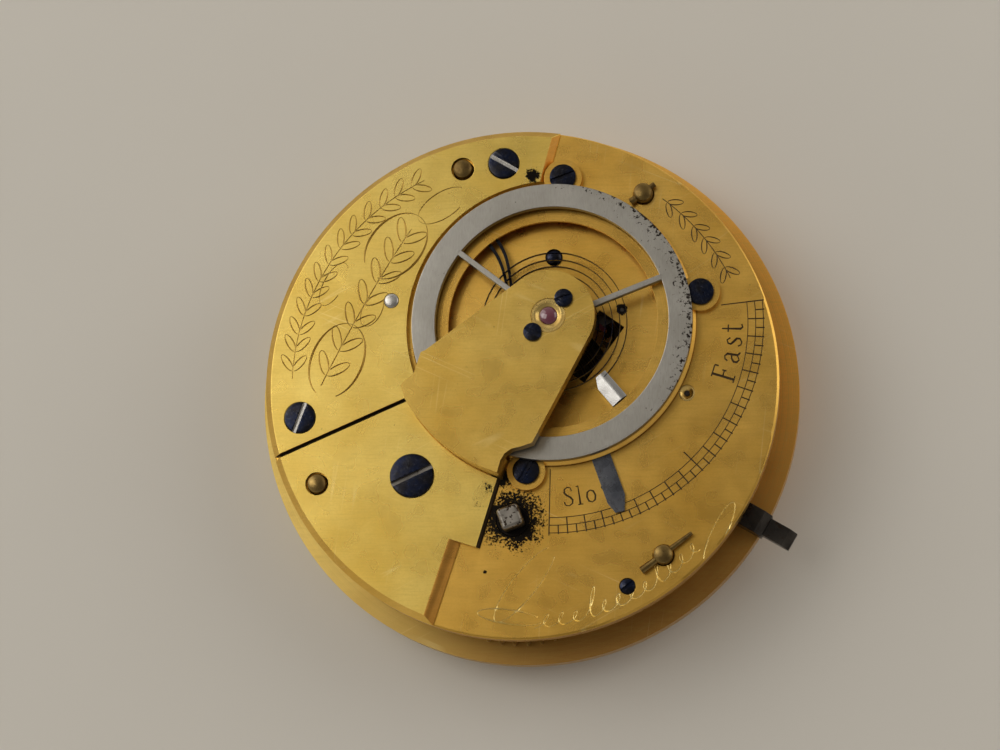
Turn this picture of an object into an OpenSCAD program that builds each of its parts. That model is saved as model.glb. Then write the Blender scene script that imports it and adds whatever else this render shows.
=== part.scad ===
// Fusee pocket watch movement, lying on its dial side with the winding side up.
// The origin is on the centre arbor's axis, on the plane that the brass edge rests on.

/* [Plates] */
// Radius of the pillar plate, the widest plate
pillar_plate_r = 21.6; // [21.4:0.1:23]
// Thickness of the pillar plate
pillar_plate_t = 1.5; // [1.4:0.1:2]
// Depth of the brass edge under the pillar plate
edge_h = 3; // [2.9:0.1:4]
// Wall of the brass edge
edge_wall = 1.6; // [1:0.1:2.4]
// Step from the pillar plate's rim in to the brass edge
edge_step = 0.4; // [0.2:0.1:1]
// Clear height between the two plates
plate_gap = 4.4; // [4.4:0.1:6]
// Radius of the top plate
top_plate_r = 20.2; // [20:0.1:20.8]
// Thickness of the top plate
top_plate_t = 1.5; // [1.3:0.1:2]
// Height of the raised bridges on the top plate
bridge_t = 0.65; // [0.6:0.05:0.8]
// Width of the bevel round the raised bridges
bevel = 0.5; // [0.2:0.05:0.55]
// Width of the sloping strip down the fusee bridge's step
step_bevel_w = 0.85; // [0.4:0.05:1]
// Width of the slot between the two raised bridges
bridge_slot = 0.3; // [0.15:0.05:0.6]

/* [Pillars] */
// Distance of the pillars from the centre
pillar_ring_r = 17.75; // [17.4:0.05:18]
// Radius of a pillar's body
pillar_r = 1.35; // [1:0.05:1.5]
// Radius of the pillar tenons in the plates
pillar_tenon_r = 0.82; // [0.7:0.02:0.9]
// Height of the pinned pillar heads over the top plate
pillar_head_h = 0.95; // [0.8:0.05:1.2]
// Radius of the taper pins through the pillar heads
pillar_pin_r = 0.25; // [0.15:0.01:0.3]

/* [Balance] */
// Balance axis, across
balance_x = 2.6; // [2.4:0.05:2.8]
// Balance axis, up
balance_y = 4.45; // [4.3:0.05:4.6]
// Outer radius of the balance rim
balance_r = 11; // [10.6:0.05:11.05]
// Width of the flat balance rim
balance_rim_w = 1.85; // [1.2:0.05:2]
// Thickness of the balance
balance_t = 0.65; // [0.4:0.05:0.7]
// Width of a balance arm
balance_arm_w = 0.45; // [0.3:0.05:0.8]
// Height of the balance over the top plate
balance_lift = 1.1; // [1.1:0.02:1.2]
// Radius of the round recess under the balance
recess_r = 9; // [8.9:0.05:9.1]
// Depth of the round recess under the balance
recess_d = 0.8; // [0.6:0.05:0.9]

/* [Balance cock] */
// Radius of the cock's round head
cock_head_r = 3.6; // [3.2:0.05:4]
// Thickness of the cock's table
cock_t = 1.4; // [1.1:0.05:1.8]
// Gap between the balance and the cock's table
cock_gap = 0.55; // [0.4:0.05:0.8]
// Radius of the arc at the back of the cock's foot
cock_foot_r = 12.8; // [12.6:0.05:13]
// Radius of the ruby end stone
end_stone_r = 0.7; // [0.5:0.05:0.8]
// Radius of the brass jewel setting
setting_r = 1.33; // [1.2:0.01:1.35]

/* [Hairspring] */
// Radius of the hairspring's outer end
hairspring_r = 5.9; // [5.8:0.02:6]
// Step from one coil of the hairspring to the next
hairspring_pitch = 0.56; // [0.54:0.01:0.58]
// Number of coils of the hairspring
hairspring_coils = 8; // [6:0.5:8]
// Thickness of the hairspring
hairspring_w = 0.12; // [0.08:0.01:0.13]
// Height of the hairspring
hairspring_h = 0.32; // [0.2:0.02:0.34]

/* [Regulator] */
// Reach of the regulator's pointer from the balance axis
pointer_reach = 15.8; // [14.5:0.05:16]
// Width of the regulator's pointer
pointer_w = 1.5; // [1:0.05:1.6]
// Thickness of the regulator
regulator_t = 0.28; // [0.2:0.02:0.28]
// Thickness of the cap ring over the regulator
cap_ring_t = 0.32; // [0.25:0.01:0.33]
// Outer radius of the cap ring
cap_ring_r = 11.2; // [11:0.05:11.3]
// Inner radius of the cap ring
cap_inner_r = 8.25; // [8.2:0.05:9]
// Distance of the cap ring's screws from the balance axis
cap_screw_ring_r = 11.8; // [11.7:0.05:11.9]

/* [Train] */
// Fusee axis, across
fusee_x = -0.45; // [-0.6:0.05:-0.3]
// Fusee axis, up
fusee_y = -10.9; // [-11:0.05:-10.7]
// Barrel axis, across
barrel_x = -10.2; // [-10.4:0.05:-10]
// Barrel axis, up
barrel_y = 6.5; // [6.3:0.05:6.7]
// Third wheel axis, across
third_x = 8.4; // [8.35:0.05:8.5]
// Third wheel axis, up
third_y = -3.2; // [-3.3:0.05:-3.15]
// Fourth wheel axis, across
fourth_x = 13.05; // [13:0.05:13.2]
// Fourth wheel axis, up
fourth_y = -1.05; // [-1.1:0.05:-0.95]
// Pallet axis, across
pallet_x = 7.9; // [7.8:0.05:8]
// Pallet axis, up
pallet_y = 5.85; // [5.7:0.05:6]
// Distance from the pallet axis to the escape wheel's axis
pallet_drop = 4.05; // [4:0.05:4.2]
// Thickness of the train wheels
wheel_t = 0.3; // [0.2:0.02:0.36]
// Thickness of the great wheel
great_wheel_t = 0.6; // [0.4:0.05:0.6]

/* [Fusee and barrel] */
// Radius of the barrel drum
barrel_r = 7.7; // [7:0.05:7.8]
// Wall of the barrel drum
barrel_wall = 0.45; // [0.3:0.05:0.6]
// Radius of the fusee's lowest groove
fusee_low_r = 6; // [5.6:0.05:6.1]
// Radius of the fusee's highest groove
fusee_high_r = 3.4; // [3:0.05:3.8]
// Thickness of the fusee chain
chain_t = 0.28; // [0.2:0.02:0.32]
// Height of the fusee chain
chain_h = 0.36; // [0.24:0.02:0.36]
// Width of the winding square across its flats
square_w = 1.75; // [1.5:0.05:1.8]
// Height of the winding square over the top plate
square_h = 2; // [1.2:0.1:3]

/* [Bolt] */
// Width of the bolt that latches the movement in a case
bolt_w = 1.9; // [1.6:0.1:2.6]
// Height of the bolt
bolt_t = 1.1; // [0.8:0.1:1.3]
// Distance that the bolt's tip stands out past the pillar plate
bolt_reach = 2.6; // [1.4:0.1:2.8]
// Travel of the bolt
bolt_travel = 1.2; // [0.8:0.1:1.4]

/* [Clearances] */
// Radial play of a pivot in its hole
pivot_play = 0.03; // [0.02:0.01:0.05]
// Gap between pieces that are fixed to each other
seat_play = 0.02; // [0.01:0.01:0.04]

/* [Hidden] */
$fn = 64;
// Colours
gilt = [0.80, 0.64, 0.30];
brass = [0.75, 0.60, 0.32];
steel = [0.58, 0.57, 0.56];
blued = [0.10, 0.13, 0.30];
ruby = [0.80, 0.20, 0.32];

edge_chamfer = 0.3;

// Levels, from the resting face up
z_plate = edge_h;
z_gap = z_plate + pillar_plate_t;
z_top = z_gap + plate_gap;
z_face = z_top + top_plate_t;
z_bridge = z_face + bridge_t;
z_floor = z_face - recess_d;
pivot_cover = 0.2;
sink_r = 0.42;
sink_d = 0.3;
z_balance = z_face + balance_lift;
z_cock = z_balance + balance_t + cock_gap;
z_crown = z_cock + cock_t;
z_regulator = z_face + 0.02;
z_cap = z_regulator + regulator_t + 0.03;
z_spring = z_regulator + regulator_t + 0.12;

// Axes of the arbors
centre = [0, 0];
balance = [balance_x, balance_y];
fusee = [fusee_x, fusee_y];
barrel = [barrel_x, barrel_y];
third = [third_x, third_y];
fourth = [fourth_x, fourth_y];
pallet = [pallet_x, pallet_y];
lever_dir = (balance - pallet) / norm(balance - pallet);
escape = pallet + pallet_drop * [-lever_dir[1], lever_dir[0]];

// Pillar bearings: the first two stand in the bridges, the last two are pinned
bridge_pillar_a = [105.3, 207];
pinned_pillar_a = [57.1, -50.6];
pin_bearing = 37;
pin_span = [[-1.25, 1.15], [-2.1, 2.75]];
pin_gap = 0.05;
pin_taper = 0.035;
pin_room_gap = 0.13;

// Tooth counts
great_teeth = 54;
centre_leaves = 12;
centre_teeth = 64;
third_leaves = 8;
third_teeth = 60;
fourth_leaves = 8;
fourth_teeth = 64;
escape_leaves = 8;
escape_teeth = 15;
cannon_leaves = 12;
minute_teeth = 36;
minute_leaves = 10;
hour_teeth = 40;

// Modules follow from the centre distances
great_m = 2 * norm(fusee) / (great_teeth + centre_leaves);
centre_m = 2 * norm(third) / (centre_teeth + third_leaves);
third_m = 2 * norm(fourth - third) / (third_teeth + fourth_leaves);
fourth_m = 2 * norm(escape - fourth) / (fourth_teeth + escape_leaves);
minute_d = 4.8;
minute_bearing = 60;
minute = minute_d * [cos(minute_bearing), sin(minute_bearing)];
cannon_m = 2 * minute_d / (cannon_leaves + minute_teeth);
hour_m = 2 * minute_d / (minute_leaves + hour_teeth);

// Tooth form, in modules and in shares of the pitch
wheel_add = 1;
wheel_ded = 1.3;
wheel_half = 0.21;
leaf_add = 0.55;
leaf_ded = 1.45;
leaf_half = 0.16;

// Levels of the train
z_sink = z_plate + 0.6;
z_centre_wheel = z_sink + 0.3;
z_great = z_gap + 0.25;
z_ratchet = z_great + great_wheel_t + 0.05;
ratchet_t = 0.32;
z_cone = z_ratchet + ratchet_t + 0.05;
z_fourth_wheel = z_gap + 0.8;
z_third_wheel = z_gap + 2;
z_lever = z_top - 1.05;
lever_t = 0.3;
z_escape_wheel = z_lever - 0.15;
z_roller = z_lever + lever_t + 0.15;
roller_t = 0.3;
roller_r = 1.5;
pin_ring_r = 1.2;
z_potence = z_top - 2.9;
potence_t = 0.7;

// Barrel and fusee
z_barrel = z_gap + 0.3;
barrel_h = plate_gap - 0.6;
cover_t = 0.4;
barrel_arbor_r = 1.05;
barrel_pivot_r = 0.58;
barrel_foot_r = 0.9;
setup_r = 2.8;
fusee_arbor_r = 0.9;
fusee_foot_r = 0.7;
fusee_pivot_r = 1.27;
grooves = 6;
groove_lip = 0.06;
cone_h = grooves * (chain_h + groove_lip) + groove_lip;
lip_h = 0.22;
z_chain = z_cone + groove_lip;
chain_gap = 0.05;

// Motion work under the dial
z_minute = z_plate - 0.9;
z_hour = z_plate - 1.75;
hour_pipe_r = 1.4;
hour_pipe_z = 0.6;
cannon_r = 0.95;
hand_seat_r = 0.78;
cannon_z = 0.15;
centre_r = 0.6;

// Screws
bridge_screws = [[-1.4, 17.5], [-17.3, -2.8]];
bridge_screw_r = 1.25;
fusee_screw = [-8.3, -7.5];
fusee_screw_r = 1.74;
cap_screw_a = [86.5, 11.5, -99.5];
cap_screw_r = 1.05;
ear_r = 1.5;
potence_post = [2.5, 10.1];
potence_post_r = 1.2;
potence_screw_r = 0.68;
setting_screw_a = [48, 228];
setting_screw_d = 1.78;
setting_screw_r = 0.72;
stop_block = [8.5, -16.1];
stop_screw_r = 0.62;
slot_w = 0.3;

// Screw heads and shanks
bridge_shank_r = 0.6;
bridge_head_h = 0.5;
bridge_sink = 0.35;
fusee_shank_r = 0.8;
cap_shank_r = 0.5;
potence_shank_r = 0.4;
stop_shank_r = 0.35;
stop_head_h = 0.4;
setting_shank_r = 0.35;
cap_head_h = 0.3;
setting_head_h = 0.28;
setting_lift = 0.02;
setting_seat = 0.4;
shank_lift = 0.1;
big_head_h = 0.6;
cock_head_h = 0.45;
cock_tip = 0.6;
tip_gap = 0.1;

// Bolt and its spring, which keep their places from the pillar plate's rim
bolt_a = -29.8;
bolt_tip_r = pillar_plate_r + bolt_reach;
bolt_inset = 3.2;
bolt_in = pillar_plate_r - bolt_inset;
bolt_tongue_w = 1.5;
bolt_block = 3.5;
bolt_step = 0.8;
bolt_lift = 0.04;
bolt_nose = 0.9;
leaf_t = 0.18;
leaf_gap = 0.1;
spring_post_inset = 3;
spring_post_in = 0.7;

// Pivots, arbors and posts
third_pivot_r = 0.25;
fourth_pivot_r = 0.2;
escape_pivot_r = 0.15;
pallet_pivot_r = 0.15;
fourth_bush_r = 0.62;
escape_arbor_r = 0.28;
third_arbor_r = 0.3;
fourth_arbor_r = 0.32;
pallet_arbor_r = 0.3;
minute_post_r = 0.4;
setup_post_r = 0.5;
spring_post_r = 0.4;
setup_click_at = barrel + polar(4.3, 200);
spring_post_at = polar(pillar_plate_r - spring_post_inset, bolt_a - 14);
z_setup = z_plate - 0.75;

// Tips of the train's wheels and leaves
centre_tip_r = centre_teeth * centre_m / 2 + wheel_add * centre_m;
third_leaf_tip_r = third_leaves * centre_m / 2 + leaf_add * centre_m;
sink_room = 0.3;

// Opening beside the balance axis, over the escapement
slot_corner = [8.1, 4.4];
slot_len = 5.4;
slot_across = 2.4;
slot_bearing = 54.5;

// Jewels
stone_t = 0.38;
stone_dome = 0.1;
impulse_r = 0.14;
potence_jewel_r = 0.7;

// Ratchet, stop work and mainspring
ratchet_r = 3.3;
ratchet_teeth = 24;
ratchet_depth = 0.3;
stop_t = 0.22;
z_stop = z_cone + cone_h + 0.07;
stop_w = 1;
stop_pin_r = 0.12;
stop_pin_d = 1.2;
stop_pin_z = z_stop - 0.05;
spring_turns = 7;
spring_t = 0.22;

// Escapement: the lever's length leaves the impulse pin's circle clear
escape_tip_r = pallet_drop * 0.8;
stone_in_r = escape_tip_r + 0.32;
stone_len = 0.7;
stone_spread = 30;
fork_len = norm(balance - pallet) - pin_ring_r - impulse_r - 0.15;

// Balance details
arm_a = [21.5, 142.5, 262];
hub_r = 1.5;
staff_r = 0.5;
staff_pivot_r = 0.12;
collet_r = hairspring_r - hairspring_pitch * hairspring_coils - hairspring_w / 2 - 0.03;
stud_a = -49.5;
stud_w = 1.4;
stud_ridge = 0.05;
stud_slopes = [12, 16];
stud_nose = [0.8, 0.45];
stud_gap = 0.1;
pointer_a = -70;
curb_a = 125.5;
curb_prong_a = 2.5;
curb_prong_w = 0.26;
curb_bend_r = 8.3;
curb_tip_r = 4.65;
curb_mid_a = 163;
curb_offset = hairspring_pitch / 2;
curb_r = 0.08;
cap_wall = 0.06;
head_room = 0.1;
index_in_r = recess_r + 0.15;
index_out_r = cap_screw_ring_r - ear_r - 0.15;

// Raised bridges: corners of the lower bridge's right side, the slot's ends and the top step
slot_out = [-25, -8.55];
slot_in = [-5, 0.26];
fusee_bridge_edge = [[-1.1, -6], [-3.2, -13.1], [-4.5, -12.7], [-7.6, -22.5]];
barrel_bridge_edge = [[2.1, 16.35], [3.9, 23.2]];
bridge_in_r = 11.55;
foot_in_r = 11.4;

// Balance cock: corners from the left of the foot to the head, and the right edge's lower corner
cock_left = [[-8.85, -0.9], [-7.8, 0.05], [-7.3, 1.7], [-6.95, 1.85]];
cock_gap_side = 0.1;
cock_right = [1.45, -5.5];
cock_notch = [[0.6, -5.78], [-0.15, -5.95], [-0.65, -6.3], [-0.98, -6.85]];
foot_span = [210.3, 252.6];
cock_screw_a = 231;
cock_screw_d = 12.1;
cock_screw_r = 0.45;

// A point at radius r and bearing a
function polar(r, a) = [r * cos(a), r * sin(a)];

// Bearing from p to q
function bearing(p, q) = atan2(q[1] - p[1], q[0] - p[0]);

// Points along an arc
function arc(c, r, a0, a1, n) = [for (i = [0:n]) c + polar(r, a0 + (a1 - a0) * i / n)];

module at(p) {
  translate([p[0], p[1], 0]) children();
}

module disc(r, z0, z1) {
  translate([0, 0, z0]) cylinder(r = r, h = z1 - z0);
}

module ring(r_out, r_in, z0, z1) {
  difference() {
    disc(r_out, z0, z1);
    disc(r_in, z0 - 1, z1 + 1);
  }
}

module slab(z0, z1) {
  translate([0, 0, z0]) linear_extrude(height = z1 - z0) children();
}

// A flat bar along bearing a, from radius r0 to r1
module bar(a, r0, r1, w, z0, z1) {
  rotate([0, 0, a]) translate([r0, -w / 2, z0]) cube([r1 - r0, w, z1 - z0]);
}

// Outline of a wheel or pinion with n teeth, the first one centred on bearing a
module teeth(n, m, add, ded, half, a) {
  r = n * m / 2;
  h = half * 360 / n;
  tip = 0.35 * h;
  polygon([for (k = [0:n - 1]) let (b = a + 360 / n * k) each [
    polar(r - ded * m, b - h),
    polar(r, b - h),
    polar(r + add * m, b - tip),
    polar(r + add * m, b + tip),
    polar(r, b + h),
    polar(r - ded * m, b + h)
  ]]);
}

// A crossed wheel: rim, arms, hub and bore
module wheel(n, m, a, arms, hub, bore, z0, z1) {
  rim_in = n * m / 2 - wheel_ded * m - 3 * m;
  slab(z0, z1) difference() {
    union() {
      difference() {
        teeth(n, m, wheel_add, wheel_ded, wheel_half, a);
        circle(r = rim_in);
      }
      circle(r = hub);
      for (k = [0:arms - 1]) {
        rotate([0, 0, 360 / arms * k]) translate([0, -1.5 * m]) square([rim_in + m, 3 * m]);
      }
    }
    circle(r = bore);
  }
}

module leaves(n, m, a, z0, z1) {
  slab(z0, z1) teeth(n, m, leaf_add, leaf_ded, leaf_half, a);
}

// A screw with a slotted head: its head lies on z, its shank reaches down to z_end
module screw(head_r, head_h, shank_r, z, z_end, a) {
  slot_d = 0.45 * head_h;
  edge = 0.35 * head_h;
  difference() {
    union() {
      disc(shank_r, z_end, z + head_h / 2);
      rotate_extrude() polygon([
        [0, z], [head_r, z], [head_r, z + head_h - edge], [head_r - edge, z + head_h], [0, z + head_h]
      ]);
    }
    rotate([0, 0, a]) translate([-head_r - 1, -slot_w / 2, z + head_h - slot_d])
      cube([2 * head_r + 2, slot_w, slot_d + 1]);
  }
}

// An arbor from z0 to z1 with a pivot at each end
module arbor(r, pivot_r, z0, z1, low, high) {
  disc(pivot_r, low, high);
  disc(r, z0, z1);
}

module brass_edge() {
  r = pillar_plate_r - edge_step;
  color(gilt) difference() {
    ring(r, r - edge_wall, 0, edge_h);
    rotate_extrude() polygon([
      [r - edge_chamfer, 0], [r - edge_chamfer, -1], [r + 1, -1], [r + 1, 1], [r, edge_chamfer]
    ]);
  }
}

module pillar_plate() {
  color(gilt) difference() {
    disc(pillar_plate_r, z_plate, z_gap);
    disc(centre_tip_r + sink_room, z_sink, z_gap + 1);
    at(third) disc(third_leaf_tip_r + sink_room, z_sink, z_gap + 1);
    disc(centre_r + pivot_play, 0, z_gap + 1);
    at(third) disc(third_pivot_r + pivot_play, 0, z_gap + 1);
    at(fourth) disc(fourth_pivot_r + pivot_play, 0, z_gap + 1);
    at(escape) disc(escape_pivot_r + pivot_play, 0, z_gap + 1);
    at(pallet) disc(pallet_pivot_r + pivot_play, 0, z_gap + 1);
    at(fusee) disc(fusee_foot_r + pivot_play, 0, z_gap + 1);
    at(barrel) disc(barrel_foot_r + seat_play, 0, z_gap + 1);
    at(minute) disc(minute_post_r + seat_play, 0, z_plate + 0.5);
    for (a = concat(bridge_pillar_a, pinned_pillar_a)) {
      at(polar(pillar_ring_r, a)) disc(pillar_tenon_r + seat_play, 0, z_gap + 1);
    }
    at(setup_click_at) disc(setup_post_r + seat_play, 0, z_plate + 0.8);
    at(spring_post_at) disc(spring_post_r + seat_play, z_gap - spring_post_in, z_gap + 1);
  }
}

// A turned pillar with a waist; the top tenon ends in a dome at z_end
module pillar(z_end) {
  waist = 0.75 * pillar_r;
  collar = 0.5;
  dome = 0.3;
  t = pillar_tenon_r;
  rotate_extrude() polygon(concat(
    [[0, z_plate], [t, z_plate], [t, z_gap], [pillar_r, z_gap], [pillar_r, z_gap + collar]],
    [[waist, z_gap + 2 * collar], [waist, z_top - 2 * collar], [pillar_r, z_top - collar]],
    [[pillar_r, z_top], [t, z_top], [t, z_end - dome], [0.7 * t, z_end - 0.1], [0, z_end]]
  ));
}

// A taper pin from one distance to another along its axis, grown by a gap
module pin_cone(from, to, gap) {
  r = pillar_pin_r + gap;
  translate([0, 0, from]) cylinder(r1 = r - pin_taper * from, r2 = r - pin_taper * to, h = to - from);
}

module pillars() {
  z_pin = z_face + pillar_head_h / 2;
  color(brass) {
    for (a = bridge_pillar_a) {
      at(polar(pillar_ring_r, a)) pillar(z_bridge + 0.3);
    }
    for (a = pinned_pillar_a) {
      at(polar(pillar_ring_r, a)) difference() {
        pillar(z_face + pillar_head_h);
        translate([0, 0, z_pin]) rotate([0, 90, pin_bearing]) pin_cone(-2, 2, seat_play);
      }
    }
  }
}

module pillar_pins() {
  z_pin = z_face + pillar_head_h / 2;
  color(brass) for (i = [0, 1]) {
    at(polar(pillar_ring_r, pinned_pillar_a[i])) translate([0, 0, z_pin])
      rotate([0, 90, pin_bearing]) pin_cone(pin_span[i][0], pin_span[i][1], 0);
  }
}

module top_plate() {
  color(gilt) difference() {
    disc(top_plate_r, z_top, z_face);
    at(balance) disc(recess_r, z_floor, z_face + 1);
    at(balance) disc(roller_r + 0.2, z_top - 1, z_floor + 1);
    at(slot_corner) rotate([0, 0, slot_bearing]) translate([-slot_len, 0, z_top - 1])
      cube([slot_len, slot_across, top_plate_t + 2]);
    disc(centre_r + pivot_play, z_top - 1, z_face + 1);
    at(third) disc(third_pivot_r + pivot_play, z_top - 1, z_face + 1);
    at(fourth) disc(fourth_bush_r + seat_play, z_top - 1, z_face + 1);
    at(escape) disc(escape_pivot_r + pivot_play, z_top - 1, z_floor - pivot_cover);
    at(pallet) disc(pallet_pivot_r + pivot_play, z_top - 1, z_face + 1);
    at(pallet) translate([0, 0, z_floor - sink_d])
      cylinder(r1 = pallet_pivot_r + pivot_play, r2 = sink_r, h = sink_d + 0.001);
    at(fusee) disc(fusee_pivot_r + pivot_play, z_top - 1, z_face + 1);
    at(barrel) disc(barrel_pivot_r + seat_play, z_top - 1, z_face + 1);
    for (a = concat(bridge_pillar_a, pinned_pillar_a)) {
      at(polar(pillar_ring_r, a)) disc(pillar_tenon_r + seat_play, z_top - 1, z_face + 1);
    }
    for (p = bridge_screws) at(p) disc(bridge_shank_r + seat_play, z_top - 1, z_face + 1);
    at(fusee_screw) disc(fusee_shank_r + seat_play, z_top - 1, z_face + 1);
    for (a = cap_screw_a) {
      at(balance + polar(cap_screw_ring_r, a)) disc(cap_shank_r + seat_play, z_top - 1, z_face + 1);
    }
    at(potence_post) disc(potence_shank_r + seat_play, z_top - 1, z_face + 1);
    at(balance + polar(cock_screw_d, cock_screw_a))
      disc(cock_screw_r + seat_play, z_top - 1, z_face + 1);
    at(stop_block) disc(stop_shank_r + seat_play, z_top - 1, z_face + 1);
    at(stop_block) disc(stop_screw_r + seat_play, z_face - stop_head_h, z_face + 1);
  }
}

// Unit normal to the left of the way from p to q
function left_of(p, q) = [-(q - p)[1], (q - p)[0]] / norm(q - p);

// Cut along the edge from p to q, which bevels a width of what lies to its left and runs past each end by a lap
module bevel_cut(p, q, lap_p, lap_q, wide) {
  at(p) rotate([0, 0, bearing(p, q)]) translate([-lap_p, 0, z_bridge - bevel])
    rotate([atan2(bevel, wide), 0, 0]) translate([0, -2, 0]) cube([lap_p + norm(q - p) + lap_q, 4, 2]);
}

// Bevel along the plate's round rim
module rim_bevel() {
  r = top_plate_r;
  rotate_extrude($fn = 128) polygon([
    [r + 0.01, z_bridge - bevel - 0.01], [r - bevel, z_bridge], [r - bevel, z_bridge + 1],
    [r + 1, z_bridge + 1], [r + 1, z_bridge - bevel - 0.01]
  ]);
}

// What both raised bridges stand clear of: the balance, the cap ring's ears and the cock's foot
module bridge_clearance() {
  gap = cock_gap_side;
  at(balance) disc(bridge_in_r, z_face - 1, z_bridge + 1);
  cap_ears(gap, z_face - 1, z_bridge + 1);
  slab(z_face - 1, z_bridge + 1) intersection() {
    at(balance) circle(r = cock_foot_r + gap);
    polygon(concat(
      [balance + polar(cock_foot_r + 1.5 * gap, foot_span[0] - 0.6)],
      [for (p = cock_left) p + gap * [-1, 0.4]],
      [balance, cock_right + [2, 0], cock_right + [-3, -3], [-10, -10]]
    ));
  }
}

module barrel_bridge() {
  n = left_of(slot_out, slot_in) * bridge_slot / 2;
  edge = barrel_bridge_edge;
  color(gilt) difference() {
    slab(z_face, z_bridge) intersection() {
      circle(r = top_plate_r);
      polygon([slot_out + n, slot_in + n, balance, edge[0], edge[1], [-25, 25]]);
    }
    bridge_clearance();
    rim_bevel();
    bevel_cut(edge[0], edge[1], 2, 2, bevel);
    at(barrel) disc(barrel_pivot_r + seat_play, z_face - 1, z_bridge + 1);
    at(polar(pillar_ring_r, bridge_pillar_a[0]))
      disc(pillar_tenon_r + head_room, z_face - 1, z_bridge + 1);
    for (p = bridge_screws) at(p) {
      disc(bridge_shank_r + seat_play, z_face - 1, z_bridge + 1);
      disc(bridge_screw_r + seat_play, z_bridge - bridge_sink, z_bridge + 1);
    }
  }
}

module barrel_bridge_screws() {
  slot_a = [-30, 70];
  color(blued) for (i = [0, 1]) {
    at(bridge_screws[i])
      screw(bridge_screw_r, bridge_head_h, bridge_shank_r, z_bridge - bridge_sink, z_top + shank_lift,
        slot_a[i]);
  }
}

module fusee_bridge() {
  n = left_of(slot_out, slot_in) * bridge_slot / 2;
  edge = fusee_bridge_edge;
  color(gilt) difference() {
    slab(z_face, z_bridge) intersection() {
      circle(r = top_plate_r);
      polygon(concat([slot_out - n, slot_in - n, balance], edge, [[-25, -25]]));
    }
    bridge_clearance();
    rim_bevel();
    bevel_cut(edge[3], edge[2], 2, 0, step_bevel_w);
    at(polar(pillar_ring_r, bridge_pillar_a[1]))
      disc(pillar_tenon_r + head_room, z_face - 1, z_bridge + 1);
    at(fusee_screw) {
      disc(fusee_shank_r + seat_play, z_face - 1, z_bridge + 1);
      disc(fusee_screw_r + seat_play, z_bridge - bridge_sink, z_bridge + 1);
    }
  }
}

module fusee_bridge_screw() {
  color(blued) at(fusee_screw)
    screw(fusee_screw_r, big_head_h, fusee_shank_r, z_bridge - bridge_sink, z_top + shank_lift, 25);
}

// The three round ears of the cap ring, grown by a gap
module cap_ears(gap, z0, z1) {
  for (a = cap_screw_a) {
    at(balance + polar(cap_screw_ring_r, a)) disc(ear_r + gap, z0, z1);
  }
}

// Room for the pinned pillar heads and their pins
module pin_room() {
  for (i = [0, 1]) at(polar(pillar_ring_r, pinned_pillar_a[i])) {
    disc(pillar_tenon_r + pin_gap, z_face, z_crown);
    bar(pin_bearing, pin_span[i][0] - pin_gap, pin_span[i][1] + pin_gap, 2 * (pillar_pin_r + pin_room_gap),
      z_face, z_crown);
  }
}

module cap_ring() {
  color(gilt) difference() {
    union() {
      at(balance) difference() {
        union() {
          disc(cap_ring_r, z_cap, z_cap + cap_wall);
          translate([0, 0, z_cap + cap_wall])
            cylinder(r1 = cap_ring_r, r2 = cap_ring_r - cap_ring_t + cap_wall, h = cap_ring_t - cap_wall);
        }
        disc(cap_inner_r, z_face, z_crown);
      }
      cap_ears(0, z_face, z_cap + cap_ring_t);
    }
    pin_room();
    for (a = cap_screw_a) {
      at(balance + polar(cap_screw_ring_r, a)) disc(cap_shank_r + seat_play, 0, z_crown);
    }
  }
}

module cap_ring_screws() {
  slot_a = [20, 115, 60];
  color(blued) for (i = [0:2]) {
    at(balance + polar(cap_screw_ring_r, cap_screw_a[i]))
      screw(cap_screw_r, cap_head_h, cap_shank_r, z_cap + cap_ring_t, z_top + shank_lift, slot_a[i]);
  }
}

// Radius of the hairspring at t degrees from its outer end
function spring_r(t) = hairspring_r - hairspring_pitch * t / 360;

stud_half_a = asin(stud_w / 2 / hairspring_r);
spring_start_a = stud_a + stud_half_a + 0.25;
curb_spring_r = spring_r(curb_mid_a - spring_start_a);

// The two curved prongs that carry the curb pins: bearing at a radius, and a point on either edge
prong_steps = 14;
function prong_a(r, side) = curb_a + side * curb_prong_a + 0.45 * pow(max(0, curb_bend_r - r), 2.6);
function prong_r(i) = index_in_r + 0.3 + (curb_tip_r - index_in_r - 0.3) * i / prong_steps;
function prong_point(i, side, edge) = let (r = prong_r(i))
  polar(r, prong_a(r, side) + edge * asin(curb_prong_w / 2 / r));

// Outline of the regulator: ring, pointer and the two prongs with the curb pins
module regulator() {
  z0 = z_regulator;
  z1 = z_regulator + regulator_t;
  root_r = (index_in_r + index_out_r) / 2;
  color(steel) at(balance) {
    slab(z0, z1) {
      difference() {
        circle(r = index_out_r);
        circle(r = index_in_r);
      }
      rotate([0, 0, pointer_a]) polygon([
        [root_r, -pointer_w / 2], [pointer_reach - 1, -pointer_w / 2],
        [pointer_reach - 0.1, -0.28 * pointer_w], [pointer_reach, 0.2 * pointer_w],
        [pointer_reach - 1.2, pointer_w / 2], [root_r, pointer_w / 2]
      ]);
      for (side = [-1, 1]) polygon(concat(
        [for (i = [0:prong_steps]) prong_point(i, side, -1)],
        [for (i = [prong_steps:-1:0]) prong_point(i, side, 1)]
      ));
    }
    for (s = [-1, 1]) {
      at(polar(curb_spring_r + s * curb_offset, prong_a(curb_spring_r + s * curb_offset, s)))
        disc(curb_r, z0, z_spring + hairspring_h);
    }
  }
}

// The hairspring is one unbroken tube of six sides, from the stud inwards to the collet
rings_per_coil = 24;
spring_rings = rings_per_coil * hairspring_coils;
section = [[-0.5, -0.3], [-0.5, 0.3], [0, 0.5], [0.5, 0.3], [0.5, -0.3], [0, -0.5]];

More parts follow.
